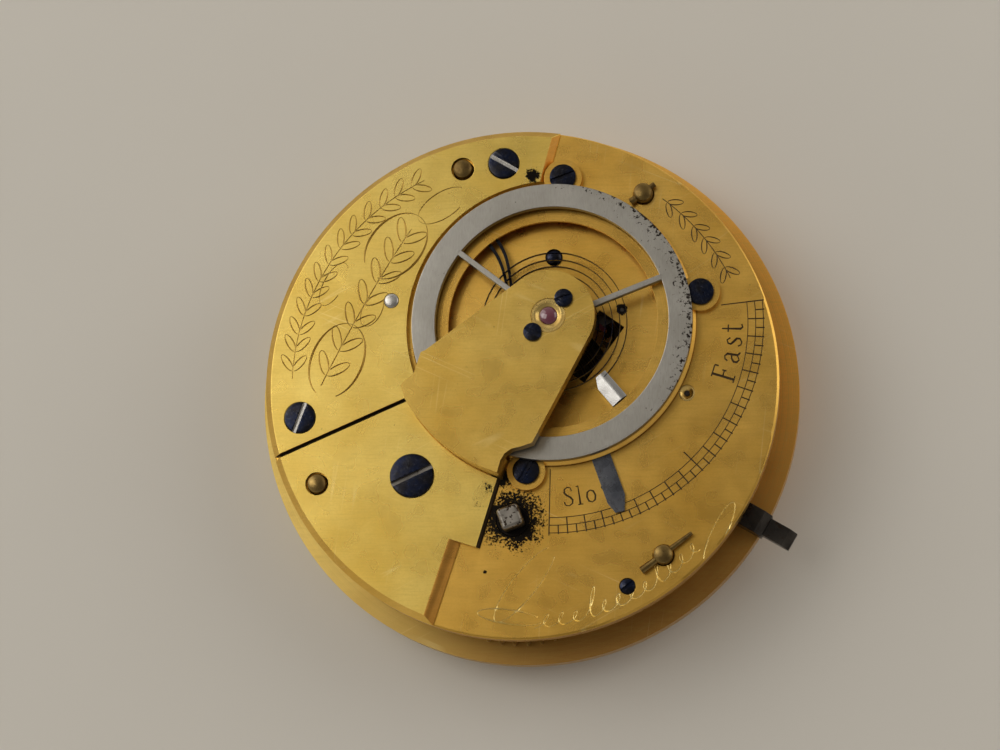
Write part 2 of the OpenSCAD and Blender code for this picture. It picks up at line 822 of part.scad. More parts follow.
// Point j of the ring at t degrees from the outer end
function spring_point(t, j) = let (a = spring_start_a + t, r = spring_r(t) + section[j][0] * hairspring_w)
  [r * cos(a), r * sin(a), z_spring + hairspring_h * (0.5 + section[j][1])];

function spring_mid(i) = polar(spring_r(360 / rings_per_coil * i), spring_start_a + 360 / rings_per_coil * i);

spring_gap = min([for (i = [0:spring_rings - rings_per_coil])
  norm(spring_mid(i) - spring_mid(i + rings_per_coil)) - hairspring_w]);

module hairspring() {
  n = spring_rings;
  sides = len(section);
  echo(least_gap_between_hairspring_coils = spring_gap);
  color(blued) at(balance) polyhedron(
    points = [for (i = [0:n], j = [0:sides - 1]) spring_point(360 / rings_per_coil * i, j)],
    faces = concat(
      [for (i = [0:n - 1], j = [0:sides - 1]) let (k = (j + 1) % sides) each [
        [i * sides + j, (i + 1) * sides + k, i * sides + k],
        [i * sides + j, (i + 1) * sides + j, (i + 1) * sides + k]
      ]],
      [for (j = [1:sides - 2]) [0, j, j + 1]],
      [for (j = [1:sides - 2]) [n * sides, n * sides + j + 1, n * sides + j]]
    )
  );
}

module hairspring_stud() {
  top = z_spring + hairspring_h + 0.06;
  r0 = hairspring_r - hairspring_w - 0.25;
  r1 = cap_inner_r - stud_gap;
  half = stud_w / 2;
  color(steel) at(balance) rotate([0, 0, stud_a]) difference() {
    slab(z_floor, top) polygon([
      [r0, stud_nose[1] - half], [r0 + stud_nose[0], -half], [r1, -half], [r1, half], [r0, half]
    ]);
    translate([0, stud_ridge, top]) {
      rotate([stud_slopes[0], 0, 0]) translate([0, -2, 0]) cube([r1 + 1, 2, 2]);
      rotate([-stud_slopes[1], 0, 0]) cube([r1 + 1, 2, 2]);
    }
  }
}

// Outline of the balance cock: left corners, the round head, the right corner and the foot's arc
module cock_outline() {
  neck = cock_left[3];
  lean = bearing(neck, balance) + asin(cock_head_r / norm(balance - neck)) + 90;
  rise = bearing(cock_right, balance) - asin(cock_head_r / norm(balance - cock_right)) - 90;
  polygon(concat(
    cock_left,
    arc(balance, cock_head_r, lean, rise, 48),
    [cock_right],
    cock_notch,
    arc(balance, cock_foot_r, foot_span[1], foot_span[0], 12)
  ));
}

module balance_cock() {
  color(gilt) difference() {
    slab(z_face, z_crown) cock_outline();
    at(balance) disc(foot_in_r, z_face - 1, z_cock);
    cap_ears(cock_gap_side, z_face - 1, z_cock);
    at(balance) {
      disc(setting_r + seat_play, z_cock + setting_seat, z_crown + 1);
      disc(staff_r + 0.25, z_cock - 1, z_crown);
      for (a = setting_screw_a) {
        at(polar(setting_screw_d, a))
          disc(setting_shank_r + seat_play, z_cock + setting_seat - tip_gap, z_crown + 1);
      }
      at(polar(cock_screw_d, cock_screw_a)) disc(cock_screw_r + seat_play, z_face - 1, z_crown - cock_tip);
    }
  }
}

module cock_screw() {
  color(steel) at(balance + polar(cock_screw_d, cock_screw_a)) {
    disc(cock_screw_r, z_top - tip_gap, z_crown - cock_tip - tip_gap);
    disc(2 * cock_screw_r, z_top - cock_head_h, z_top);
  }
}

module jewel_setting() {
  color(brass) at(balance) difference() {
    disc(setting_r, z_cock + setting_seat, z_crown + setting_lift);
    disc(staff_pivot_r + pivot_play, z_cock, z_crown + 1);
    disc(end_stone_r + seat_play, z_crown - stone_t, z_crown + 1);
  }
}

module end_stone() {
  r = end_stone_r;
  z = z_crown - stone_t;
  color(ruby) at(balance) rotate_extrude() polygon([
    [0, z], [r, z], [r, z_crown], [0.75 * r, z_crown + 0.6 * stone_dome], [0, z_crown + stone_dome]
  ]);
}

module setting_screws() {
  slot_a = [15, 150];
  color(blued) at(balance) for (i = [0, 1]) {
    at(polar(setting_screw_d, setting_screw_a[i]))
      screw(setting_screw_r, setting_head_h, setting_shank_r, z_crown + setting_lift,
        z_cock + setting_seat, slot_a[i]);
  }
}

module balance_wheel() {
  rim_in = balance_r - balance_rim_w;
  z1 = z_balance + balance_t;
  color(steel) at(balance) difference() {
    union() {
      ring(balance_r, rim_in, z_balance, z1);
      disc(hub_r, z_balance, z1);
      for (a = arm_a) bar(a, 0, rim_in + 0.2, balance_arm_w, z_balance, z1);
    }
    disc(staff_r + seat_play, z_balance - 1, z1 + 1);
  }
}

module balance_staff() {
  low = z_potence + 0.35;
  high = z_crown - stone_t - 0.05;
  pivot = 0.5;
  color(steel) at(balance) rotate_extrude() polygon([
    [0, low], [staff_pivot_r, low], [staff_pivot_r, z_potence + potence_t + 0.05],
    [staff_r, z_potence + potence_t + pivot], [staff_r, z_cock + 0.1], [staff_pivot_r, z_cock + 0.35],
    [staff_pivot_r, high], [0, high]
  ]);
}

module hairspring_collet() {
  color(brass) at(balance) ring(collet_r, staff_r + seat_play, z_spring - 0.05, z_balance);
}

module roller() {
  color(steel) at(balance) difference() {
    ring(roller_r, staff_r + seat_play, z_roller, z_roller + roller_t);
    at(pin_ring_r * -lever_dir) disc(impulse_r + seat_play, 0, 30);
  }
}

module impulse_pin() {
  color(ruby) at(balance - pin_ring_r * lever_dir) disc(impulse_r, z_lever, z_roller + roller_t);
}

module potence() {
  a = bearing(balance, potence_post);
  z1 = z_potence + potence_t;
  color(gilt) difference() {
    union() {
      at(potence_post) disc(potence_post_r, z_potence, z_top);
      at(balance) disc(1.2, z_potence, z1);
      at(balance) bar(a, 0, norm(potence_post - balance), 1.8, z_potence, z1);
    }
    at(balance) disc(potence_jewel_r + seat_play, z_potence + 0.3, z1 + 1);
    at(balance) disc(0.3, z_potence - 1, z1);
    at(potence_post) disc(potence_shank_r + seat_play, z_potence + 0.5, z_top + 1);
  }
}

module potence_jewel() {
  color(ruby) at(balance)
    ring(potence_jewel_r, staff_pivot_r + pivot_play, z_potence + 0.3, z_potence + potence_t);
}

module potence_screw() {
  r = potence_screw_r;
  color(blued) at(potence_post) {
    disc(potence_shank_r, z_potence + 0.8, z_floor + 0.1);
    rotate_extrude() polygon([
      [0, z_floor], [r, z_floor], [r, z_floor + 0.1], [0.8 * r, z_floor + 0.24], [0.4 * r, z_floor + 0.32],
      [0, z_floor + 0.34]
    ]);
  }
}

module lever() {
  a = bearing(pallet, balance);
  b = bearing(escape, pallet);
  color(steel) difference() {
    union() {
      at(pallet) disc(0.7, z_lever, z_lever + lever_t);
      at(pallet) bar(a, 0, fork_len - 0.5, 0.5, z_lever, z_lever + lever_t);
      at(pallet) bar(a, fork_len - 0.9, fork_len, 1.1, z_lever, z_lever + lever_t);
      at(pallet) bar(a + 180, 0, 1.6, 0.5, z_lever, z_lever + lever_t);
      for (s = [-1, 1]) {
        p = escape + polar(stone_in_r + stone_len, b + s * stone_spread);
        at(pallet) bar(bearing(pallet, p), 0, norm(p - pallet), 0.6, z_lever, z_lever + lever_t);
        at(p) disc(0.45, z_lever, z_lever + lever_t);
      }
    }
    at(pallet) disc(pallet_arbor_r + seat_play, 0, 30);
    at(pallet) bar(a, fork_len - 0.5, fork_len + 1, 0.36, 0, 30);
    at(escape) disc(stone_in_r + 0.1, 0, 30);
    for (s = [-1, 1]) at(escape) rotate([0, 0, b + s * stone_spread]) stone_shape(seat_play);
  }
}

// One pallet stone, along +X from its working end
module stone_shape(play) {
  w = 0.34 + 2 * play;
  translate([stone_in_r, -w / 2, z_lever - (play > 0 ? 1 : 0)])
    cube([stone_len + play, w, lever_t + (play > 0 ? 2 : 0)]);
}

module pallet_stones() {
  b = bearing(escape, pallet);
  color(ruby) for (s = [-1, 1]) {
    at(escape) rotate([0, 0, b + s * stone_spread]) stone_shape(0);
  }
}

module pallet_arbor() {
  color(steel) at(pallet)
    arbor(pallet_arbor_r, pallet_pivot_r, z_gap + 0.1, z_top - 0.1, z_plate + 0.3, z_floor - sink_d + 0.05);
}

module escape_wheel() {
  root = escape_tip_r - 0.75;
  step = 360 / escape_teeth;
  color(brass) at(escape) slab(z_escape_wheel, z_escape_wheel + wheel_t) difference() {
    polygon([for (k = [0:escape_teeth - 1]) each [
      polar(root, step * k), polar(escape_tip_r, step * k + 0.1 * step),
      polar(escape_tip_r, step * k + 0.2 * step), polar(root, step * k + 0.55 * step)
    ]]);
    difference() {
      circle(r = root - 0.45);
      circle(r = 0.7);
      for (k = [0:3]) rotate([0, 0, 90 * k]) translate([0, -0.2]) square([root, 0.4]);
    }
    circle(r = escape_arbor_r + seat_play);
  }
}

module escape_pinion() {
  a = bearing(escape, fourth) + 180 / escape_leaves;
  z0 = z_fourth_wheel - 0.2;
  color(steel) at(escape) {
    arbor(escape_arbor_r, escape_pivot_r, z_gap + 0.1, z_top - 0.1, z_plate + 0.3,
      z_floor - pivot_cover - 0.05);
    leaves(escape_leaves, fourth_m, a, z0, z_fourth_wheel + wheel_t + 0.2);
  }
}

module fourth_wheel() {
  color(brass) at(fourth)
    wheel(fourth_teeth, fourth_m, bearing(fourth, escape), 4, 0.9, fourth_arbor_r + seat_play,
      z_fourth_wheel, z_fourth_wheel + wheel_t);
}

module fourth_pinion() {
  a = bearing(fourth, third) + 180 / fourth_leaves;
  color(steel) at(fourth) {
    arbor(fourth_arbor_r, fourth_pivot_r, z_gap + 0.1, z_top - 0.1, 1, z_face - 0.2);
    leaves(fourth_leaves, third_m, a, z_third_wheel - 0.2, z_third_wheel + wheel_t + 0.2);
  }
}

module fourth_bush() {
  color(brass) at(fourth) ring(fourth_bush_r, fourth_pivot_r + pivot_play, z_top, z_face + 0.01);
}

module third_wheel() {
  color(brass) at(third)
    wheel(third_teeth, third_m, bearing(third, fourth), 4, 0.9, third_arbor_r + seat_play,
      z_third_wheel, z_third_wheel + wheel_t);
}

module third_pinion() {
  a = bearing(third, centre) + 180 / third_leaves;
  color(steel) at(third) {
    arbor(third_arbor_r, third_pivot_r, z_centre_wheel - 0.2, z_top - 0.1, z_plate + 0.1, z_face - 0.3);
    leaves(third_leaves, centre_m, a, z_centre_wheel - 0.15, z_centre_wheel + wheel_t + 0.25);
  }
}

module centre_wheel() {
  color(brass)
    wheel(centre_teeth, centre_m, bearing(centre, third), 5, 1.6, centre_r + seat_play,
      z_centre_wheel, z_centre_wheel + wheel_t);
}

module centre_pinion() {
  a = bearing(centre, fusee) + 180 / centre_leaves;
  color(steel) {
    disc(centre_r, cannon_z + 0.5, z_face - 0.2);
    leaves(centre_leaves, great_m, a, z_great - 0.15, z_great + great_wheel_t + 0.15);
  }
}

module great_wheel() {
  color(brass) at(fusee)
    wheel(great_teeth, great_m, bearing(fusee, centre), 5, 4.6, fusee_arbor_r + pivot_play,
      z_great, z_great + great_wheel_t);
}

// Outline of a ratchet wheel with leaning teeth
module ratchet_outline(n, r, depth) {
  step = 360 / n;
  polygon([for (k = [0:n - 1]) each [polar(r - depth, step * k), polar(r, step * k + 0.85 * step)]]);
}

module fusee_ratchet() {
  color(steel) at(fusee) slab(z_ratchet, z_ratchet + ratchet_t) difference() {
    ratchet_outline(ratchet_teeth, ratchet_r, ratchet_depth);
    circle(r = fusee_arbor_r + seat_play);
  }
}

module fusee_click() {
  r = ratchet_r + 0.06;
  z0 = z_great + great_wheel_t;
  color(steel) at(fusee) slab(z0, z_ratchet + ratchet_t) polygon(concat(
    arc([0, 0], r, 150, 195, 6),
    arc([0, 0], r + 0.9, 190, 165, 4)
  ));
}

// Radius of the fusee's groove i, counted from the lowest
function groove_r(i) = fusee_low_r + (fusee_high_r - fusee_low_r) * i / (grooves - 1);

module fusee_cone() {
  pitch = chain_h + groove_lip;
  color(brass) at(fusee) difference() {
    rotate_extrude() polygon(concat(
      [[0, z_cone]],
      [for (i = [0:grooves - 1]) let (z = z_cone + i * pitch, r = groove_r(i)) each [
        [r + lip_h, z], [r + lip_h, z + groove_lip], [r, z + groove_lip], [r, z + pitch]
      ]],
      [[groove_r(grooves - 1) + lip_h, z_cone + cone_h - groove_lip]],
      [[groove_r(grooves - 1) + lip_h, z_cone + cone_h], [0, z_cone + cone_h]]
    ));
    disc(fusee_arbor_r + seat_play, 0, 30);
  }
}

module fusee_arbor() {
  color(steel) at(fusee) {
    disc(fusee_foot_r, z_plate + 0.2, z_gap + 1);
    disc(fusee_arbor_r, z_gap + 0.06, z_top);
    disc(fusee_pivot_r, z_top - 0.3, z_face + 0.05);
    rotate([0, 0, 20]) translate([-square_w / 2, -square_w / 2, z_face])
      cube([square_w, square_w, square_h]);
  }
}

// The chain leaves the fusee's lowest groove and runs to the barrel on the outer side
fusee_chain_r = fusee_low_r + chain_gap;
barrel_chain_r = barrel_r + chain_gap;
chain_dir = bearing(fusee, barrel) + acos((fusee_chain_r - barrel_chain_r) / norm(barrel - fusee));

module fusee_chain() {
  a = chain_dir;
  n = 24;
  color(steel) slab(z_chain, z_chain + chain_h) polygon(concat(
    arc(fusee, fusee_chain_r, a + 100, a, n),
    arc(barrel, barrel_chain_r, a, a - 300, 2 * n),
    arc(barrel, barrel_chain_r + chain_t, a - 300, a, 2 * n),
    arc(fusee, fusee_chain_r + chain_t, a, a + 100, n)
  ));
}

module fusee_stop() {
  a = bearing(stop_block, fusee);
  len = norm(fusee - stop_block) - 2.3;
  color(steel) at(stop_block) difference() {
    union() {
      bar(a, 0.9, len, stop_w, z_stop, z_stop + stop_t);
      bar(a, 0.9, 1.6, 0.5, z_stop - 0.3, z_stop + stop_t);
    }
    rotate([0, 0, a]) translate([stop_pin_d, 0, stop_pin_z]) rotate([90, 0, 0])
      cylinder(r = stop_pin_r + pivot_play, h = 4, center = true);
  }
}

module fusee_stop_block() {
  a = bearing(stop_block, fusee);
  color(gilt) at(stop_block) difference() {
    union() {
      disc(0.85, z_stop - 0.35, z_top);
      for (s = [-1, 1]) {
        rotate([0, 0, a]) translate([0, s * 0.75 - 0.2, z_stop - 0.35])
          cube([1.5, 0.4, z_top - z_stop + 0.35]);
      }
      rotate([0, 0, a]) translate([stop_pin_d, 0, stop_pin_z]) rotate([90, 0, 0])
        cylinder(r = stop_pin_r, h = 1.6, center = true);
    }
    disc(stop_shank_r + seat_play, z_stop - 0.1, z_top + 1);
    rotate([0, 0, a]) translate([0.75, -0.55, z_stop + 0.15]) cube([0.9, 1.1, 2]);
  }
}

module fusee_stop_screw() {
  color(blued) at(stop_block)
    screw(stop_screw_r, stop_head_h + 0.1, stop_shank_r, z_face - stop_head_h, z_stop, 40);
}

module barrel_drum() {
  z1 = z_barrel + barrel_h - cover_t;
  color(brass) at(barrel) difference() {
    disc(barrel_r, z_barrel, z1);
    disc(barrel_r - barrel_wall, z_barrel + barrel_wall, z1 + 1);
    disc(barrel_arbor_r + pivot_play, 0, 30);
  }
}

module barrel_cover() {
  z1 = z_barrel + barrel_h;
  color(brass) at(barrel) ring(barrel_r, barrel_arbor_r + pivot_play, z1 - cover_t, z1);
}

module barrel_arbor() {
  color(steel) at(barrel) {
    disc(barrel_foot_r, z_setup - 0.1, z_gap + 0.5);
    disc(barrel_arbor_r, z_gap + 0.05, z_top - 0.05);
    disc(1.7, z_barrel + barrel_wall + 0.1, z_barrel + barrel_h - cover_t - 0.1);
    disc(barrel_pivot_r, z_top - 0.5, z_bridge + 0.08);
  }
}

// A flat spiral from the arbor out to the drum's wall
module mainspring() {
  r0 = 1.75;
  r1 = barrel_r - barrel_wall - spring_t - 0.05;
  n = 24 * spring_turns;
  function coil(i, off) = polar(r0 + (r1 - r0) * i / n + off, 360 * spring_turns * i / n);
  color(steel) at(barrel) slab(z_barrel + barrel_wall + 0.15, z_barrel + barrel_h - cover_t - 0.15)
    polygon(concat([for (i = [0:n]) coil(i, 0)], [for (i = [n:-1:0]) coil(i, spring_t)]));
}

module setup_ratchet() {
  color(steel) at(barrel) slab(z_setup, z_plate - 0.05) difference() {
    ratchet_outline(20, setup_r, 0.4);
    circle(r = barrel_foot_r + seat_play);
  }
}

module setup_click() {
  a = bearing(setup_click_at, barrel);
  color(steel) {
    at(setup_click_at) disc(setup_post_r, z_setup - 0.1, z_plate + 0.7);
    at(setup_click_at) disc(0.9, z_setup, z_plate);
    at(setup_click_at) bar(a - 62, 0, 2.6, 0.9, z_setup, z_plate);
  }
}

// The bolt lies on the pillar plate, with a block inside the rim and a bevelled tongue outside
module bolt() {
  z0 = z_gap + bolt_lift;
  z1 = z0 + bolt_t;
  color(steel) rotate([0, 0, bolt_a]) difference() {
    union() {
      difference() {
        translate([bolt_in, -bolt_w / 2, z0]) cube([bolt_block, bolt_w, bolt_t + bolt_step]);
        translate([bolt_in + bolt_block, 0, z1 + bolt_step]) rotate([0, 45, 0])
          cube([bolt_nose, bolt_w * 2, bolt_nose], center = true);
      }
      translate([bolt_in, -bolt_tongue_w / 2, z0]) cube([bolt_tip_r - bolt_in, bolt_tongue_w, bolt_t]);
    }
    translate([bolt_tip_r, 0, z1]) rotate([0, 45, 0])
      cube([bolt_nose, bolt_w * 2, bolt_nose], center = true);
  }
}

// Leaf spring behind the bolt, with its post in the pillar plate
module bolt_spring() {
  z0 = z_gap + bolt_lift;
  z1 = z0 + bolt_t - leaf_gap;
  r = bolt_in - bolt_travel - leaf_gap;
  root = 0.8 * leaf_t;
  color(steel) {
    at(spring_post_at) disc(spring_post_r, z_gap - spring_post_in, z1);
    slab(z0, z1) polygon([
      spring_post_at + polar(root, bolt_a + 76), spring_post_at + polar(root, bolt_a - 104),
      polar(r - leaf_t, bolt_a - 3), polar(r - leaf_t, bolt_a + 4), polar(r, bolt_a + 4), polar(r, bolt_a - 3)
    ]);
  }
}

module cannon_pinion() {
  a = bearing(centre, minute) + 180 / cannon_leaves;
  color(steel) difference() {
    union() {
      disc(hand_seat_r, cannon_z, z_plate - 0.2);
      disc(cannon_r, hour_pipe_z - 0.05, z_plate - 0.2);
      leaves(cannon_leaves, cannon_m, a, z_minute - 0.15, z_plate - 0.15);
    }
    disc(centre_r + pivot_play, cannon_z + 0.45, z_plate + 1);
  }
}

module minute_wheel() {
  a = bearing(minute, centre);
  color(brass) at(minute) difference() {
    union() {
      slab(z_minute, z_minute + wheel_t)
        teeth(minute_teeth, cannon_m, wheel_add, wheel_ded, wheel_half, a);
      leaves(minute_leaves, hour_m, a + 180 / minute_leaves, z_hour - 0.15, z_minute);
    }
    disc(minute_post_r + pivot_play, 0, z_plate + 1);
  }
}

module minute_post() {
  color(steel) at(minute) {
    disc(minute_post_r, z_hour - 0.35, z_plate + 0.4);
    disc(minute_post_r + 0.3, z_hour - 0.45, z_hour - 0.2);
  }
}

module hour_wheel() {
  color(brass) difference() {
    union() {
      slab(z_hour, z_hour + wheel_t)
        teeth(hour_teeth, hour_m, wheel_add, wheel_ded, wheel_half, minute_bearing);
      disc(hour_pipe_r, hour_pipe_z, z_hour + wheel_t);
    }
    disc(cannon_r + pivot_play, 0, z_plate + 1);
  }
}

brass_edge();
pillar_plate();
pillars();
pillar_pins();
top_plate();
barrel_bridge();
barrel_bridge_screws();
fusee_bridge();
fusee_bridge_screw();
cap_ring();
cap_ring_screws();
regulator();
hairspring();
hairspring_stud();
balance_cock();
cock_screw();
jewel_setting();
end_stone();
setting_screws();
balance_wheel();
balance_staff();
hairspring_collet();
roller();
impulse_pin();
potence();
potence_jewel();
potence_screw();
lever();
pallet_stones();
pallet_arbor();
escape_wheel();
escape_pinion();
fourth_wheel();
fourth_pinion();
fourth_bush();
third_wheel();
third_pinion();
centre_wheel();
centre_pinion();
great_wheel();
fusee_ratchet();
fusee_click();
fusee_cone();
fusee_arbor();
fusee_chain();
fusee_stop();
fusee_stop_block();
fusee_stop_screw();
barrel_drum();
barrel_cover();
barrel_arbor();
mainspring();
setup_ratchet();
setup_click();
bolt();
bolt_spring();
cannon_pinion();
minute_wheel();
minute_post();
hour_wheel();
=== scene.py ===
import math

import bpy
from mathutils import Matrix, Vector


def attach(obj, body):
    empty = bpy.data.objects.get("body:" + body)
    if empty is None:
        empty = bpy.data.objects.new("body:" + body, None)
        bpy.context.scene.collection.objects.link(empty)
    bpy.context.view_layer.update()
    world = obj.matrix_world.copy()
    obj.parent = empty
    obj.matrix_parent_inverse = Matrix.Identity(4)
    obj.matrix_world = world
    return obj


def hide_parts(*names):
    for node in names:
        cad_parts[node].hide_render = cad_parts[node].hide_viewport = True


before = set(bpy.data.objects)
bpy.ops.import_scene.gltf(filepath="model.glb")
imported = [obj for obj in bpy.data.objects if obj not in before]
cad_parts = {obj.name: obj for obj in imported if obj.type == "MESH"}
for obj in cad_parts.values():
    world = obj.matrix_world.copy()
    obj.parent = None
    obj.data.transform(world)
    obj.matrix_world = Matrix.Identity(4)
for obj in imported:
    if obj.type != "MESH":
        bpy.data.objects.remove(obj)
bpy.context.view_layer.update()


# The table and the light. The movement lies dial side down on a pale table between two soft windows, with a
# smaller panel above it to the left. The camera stands almost straight above it, a little towards the lower
# right.
scene = bpy.context.scene
scene.view_settings.view_transform = "Standard"

bpy.ops.object.select_all(action="DESELECT")
bpy.ops.object.camera_add()
camera = bpy.context.active_object
camera.data.sensor_width = 36.0
camera.data.lens = 100.8
camera.data.clip_start = 0.01
camera.matrix_world = Matrix((
    (0.99149, 0.01276, 0.12953, 0.02682),
    (0.01276, 0.98088, -0.19422, -0.04203),
    (-0.12953, 0.19422, 0.97237, 0.22355),
    (0.0, 0.0, 0.0, 1.0),
))
scene.camera = camera


def softbox(name, place, sides, power, colour):
    """A large lamp with a flat face, turned towards the middle of the table."""
    bpy.ops.object.light_add(type="AREA", location=place)
    lamp = bpy.context.active_object
    lamp.name = name
    lamp.data.shape = "RECTANGLE"
    lamp.data.size, lamp.data.size_y = sides
    lamp.data.energy = power
    lamp.data.color = colour
    lamp.rotation_euler = (-Vector(place)).to_track_quat("-Z", "Y").to_euler()


DAYLIGHT, WARM_DAYLIGHT = (1.0, 0.97, 0.92), (1.0, 0.96, 0.90)
softbox("window", (-0.66, 0.42, 0.52), (0.60, 0.90), 1.8, DAYLIGHT)
softbox("panel", (-0.42, 0.12, 0.69), (0.36, 0.50), 1.0, DAYLIGHT)
softbox("far_window", (0.68, 0.26, 0.46), (0.50, 0.80), 1.3, WARM_DAYLIGHT)


def put(tree, kind, sockets=None, **settings):
    """Adds a shader node: sockets are set or linked by name or number, settings are the node's own."""
    node = tree.nodes.new("ShaderNode" + kind)
    for name, value in settings.items():
        setattr(node, name, value)
    for key, value in (sockets or {}).items():
        if isinstance(value, bpy.types.NodeSocket):
            tree.links.new(value, node.inputs[key])
        else:
            node.inputs[key].default_value = value
    return node


def new_finish(name, metallic, roughness):
    """A finish with its shader, and its place on the piece in millimetres."""
    finish = bpy.data.materials.new(name)
    finish.use_nodes = True
    tree = finish.node_tree
    shader = tree.nodes["Principled BSDF"]
    shader.inputs["Metallic"].default_value = metallic
    shader.inputs["Roughness"].default_value = roughness
    place = put(tree, "TexCoord").outputs["Object"]
    spot = put(tree, "VectorMath", {0: place, "Scale": 1000.0}, operation="SCALE").outputs[0]
    return finish, shader, spot


def cloud(spot, scale, detail=2.0, rough=0.5):
    """Soft noise with so many features to the millimetre."""
    sockets = {"Vector": spot, "Scale": scale, "Detail": detail, "Roughness": rough}
    return put(spot.id_data, "TexNoise", sockets).outputs[0]


def ease(value, low, high, bottom=0.0, top=1.0):
    """The value's way from low to high, brought to bottom and top."""
    sockets = {"Value": value, "From Min": low, "From Max": high, "To Min": bottom, "To Max": top}
    return put(value.id_data, "MapRange", sockets).outputs[0]


def tint(share, one, other):
    """One colour passing into another."""
    full = [c if isinstance(c, bpy.types.NodeSocket) else (*c, 1.0) for c in (one, other)]
    return put(share.id_data, "Mix", {0: share, 6: full[0], 7: full[1]}, data_type="RGBA").outputs[2]


def feed(shader, socket, value):
    """Leads a value to one of a shader's sockets."""
    shader.id_data.links.new(value, shader.inputs[socket])


def relief(shader, height, depth, strength):
    """A bump so many millimetres deep."""
    bump = put(shader.id_data, "Bump", {"Strength": strength, "Distance": depth / 1000, "Height": height})
    feed(shader, "Normal", bump.outputs[0])


def mottled_finish(name, metallic, roughness, mottle, one, other, grain, depth, strength):
    """Two colours in clouds over a grain; mottle and grain are each (features to the millimetre, detail)."""
    finish, shader, spot = new_finish(name, metallic, roughness)
    feed(shader, "Base Color", tint(cloud(spot, *mottle), one, other))
    relief(shader, cloud(spot, *grain), depth, strength)
    return finish


SHADE, GLOW, GLOW_FROM = (0.10, 0.092, 0.08), (1.0, 0.96, 0.89), (-0.20, 0.22, -0.80)
world = bpy.data.worlds.new("room")
scene.world = world
world.use_nodes = True
tree = world.node_tree
away = put(tree, "VectorMath", {0: put(tree, "TexCoord").outputs["Generated"], 1: GLOW_FROM},
           operation="DOT_PRODUCT").outputs["Value"]
glow = tint(ease(away, -1.0, 0.4), SHADE, GLOW)
feed(tree.nodes["Background"], "Color", glow)
tree.nodes["Background"].inputs["Strength"].default_value = 1.0

bpy.ops.mesh.primitive_plane_add(size=3.0)
table_top = bpy.context.active_object
table_top.name = "table_top"
table_top.data.materials.append(mottled_finish(
    "pale_card", 0.0, 0.75, (0.05, 3), (0.63, 0.60, 0.545), (0.66, 0.63, 0.575), (3.0, 4), 0.01, 0.2))


# The brass edge is the deep turned ring under the pillar plate that the movement rests on. It is turned
# from brass and fire gilt, with its outer corner chamfered, and pinned to the plate.
def take(*pieces):
    """Selects these objects alone, the first one active."""
    bpy.ops.object.select_all(action="DESELECT")
    for piece in pieces:
        piece.select_set(True)
    bpy.context.view_layer.objects.active = pieces[0]
    return pieces[0]


def use(piece, name, kind, **settings):
    """Adds a modifier to a piece and applies it."""
    take(piece)
    tool = piece.modifiers.new(name, kind)
    for key, value in settings.items():
        setattr(tool, key, value)
    bpy.ops.object.modifier_apply(modifier=name)


def smooth(piece, angle=32, weight=100):
    """Round faces shade smoothly, and each flat one stays flat up to its broken edge."""
    take(piece)
    bpy.ops.object.shade_smooth_by_angle(angle=math.radians(angle))
    use(piece, "flat_faces", "WEIGHTED_NORMAL", mode="FACE_AREA", weight=weight, keep_sharp=True)


def worked(node, name, edge, *finishes, segments=2):
    """A node's own form drawn in millimetres, its triangles merged and its sharp edges broken by edge."""
    piece = bpy.data.objects.new(name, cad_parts[node].data.copy())
    scene.collection.objects.link(piece)
    piece.data.materials.clear()
    take(piece)
    piece.scale = (1000, 1000, 1000)
    bpy.ops.object.transform_apply()
    bpy.ops.mesh.customdata_custom_splitnormals_clear()
    bpy.ops.object.mode_set(mode="EDIT")
    bpy.ops.mesh.select_all(action="SELECT")
    bpy.ops.mesh.remove_doubles(threshold=0.0005)
    if edge:
        bpy.ops.mesh.dissolve_limited(angle_limit=math.radians(0.5))
    bpy.ops.object.mode_set(mode="OBJECT")
    if edge:
        use(piece, "broken_edge", "BEVEL", width=edge, segments=segments, limit_method="ANGLE",
            angle_limit=math.radians(40), use_clamp_overlap=True, miter_outer="MITER_ARC")
    smooth(piece)
    for finish in finishes:
        piece.data.materials.append(finish)
    return piece


def settle(piece, node, finish=None, body="frame"):
    """Brings a piece drawn in millimetres to the frame's metres, and puts it in the place of its node."""
    if finish:
        piece.data.materials.append(finish)
    take(piece)
    shading = [corner.vector.copy() for corner in piece.data.corner_normals]
    piece.scale = (0.001, 0.001, 0.001)
    bpy.ops.object.transform_apply()
    piece.data.normals_split_custom_set(shading)
    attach(piece, body)
    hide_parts(node)


def dress(node, how, edge, finish, body="frame", segments=2):
    """Works a node's own form into a piece, named after how it is made, and puts it in its place."""
    settle(worked(node, f"{node}_{how}", edge, finish, segments=segments), node, body=body)


def polar(radius, bearing, centre=(0.0, 0.0)):
    """A point at a distance and a bearing in degrees from a centre."""
    angle = math.radians(bearing)
    return centre[0] + radius * math.cos(angle), centre[1] + radius * math.sin(angle)


def calc(work, one, other=0.0):
    """One sum of two values."""
    return put(one.id_data, "Math", {0: one, 1: other}, operation=work).outputs[0]


def stretched(spot, *scale):
    """Places drawn out along the axes, for streaks."""
    return put(spot.id_data, "Mapping", {"Vector": spot, "Scale": scale}).outputs[0]


def height_of(spot):
    """Height above the face that the movement rests on."""
    return put(spot.id_data, "SeparateXYZ", {0: spot}).outputs["Z"]


def radius_from(spot, centre):
    """Distance from an upright axis."""
    flat = put(spot.id_data, "VectorMath", {0: spot, 1: (1, 1, 0)}, operation="MULTIPLY").outputs[0]
    return put(spot.id_data, "VectorMath", {0: flat, 1: (*centre, 0)}, operation="DISTANCE").outputs["Value"]


def towards(spot, bearing):
    """How far a point lies towards one side."""
    sockets = {0: spot, 1: (*polar(1.0, bearing), 0)}
    return put(spot.id_data, "VectorMath", sockets, operation="DOT_PRODUCT").outputs["Value"]


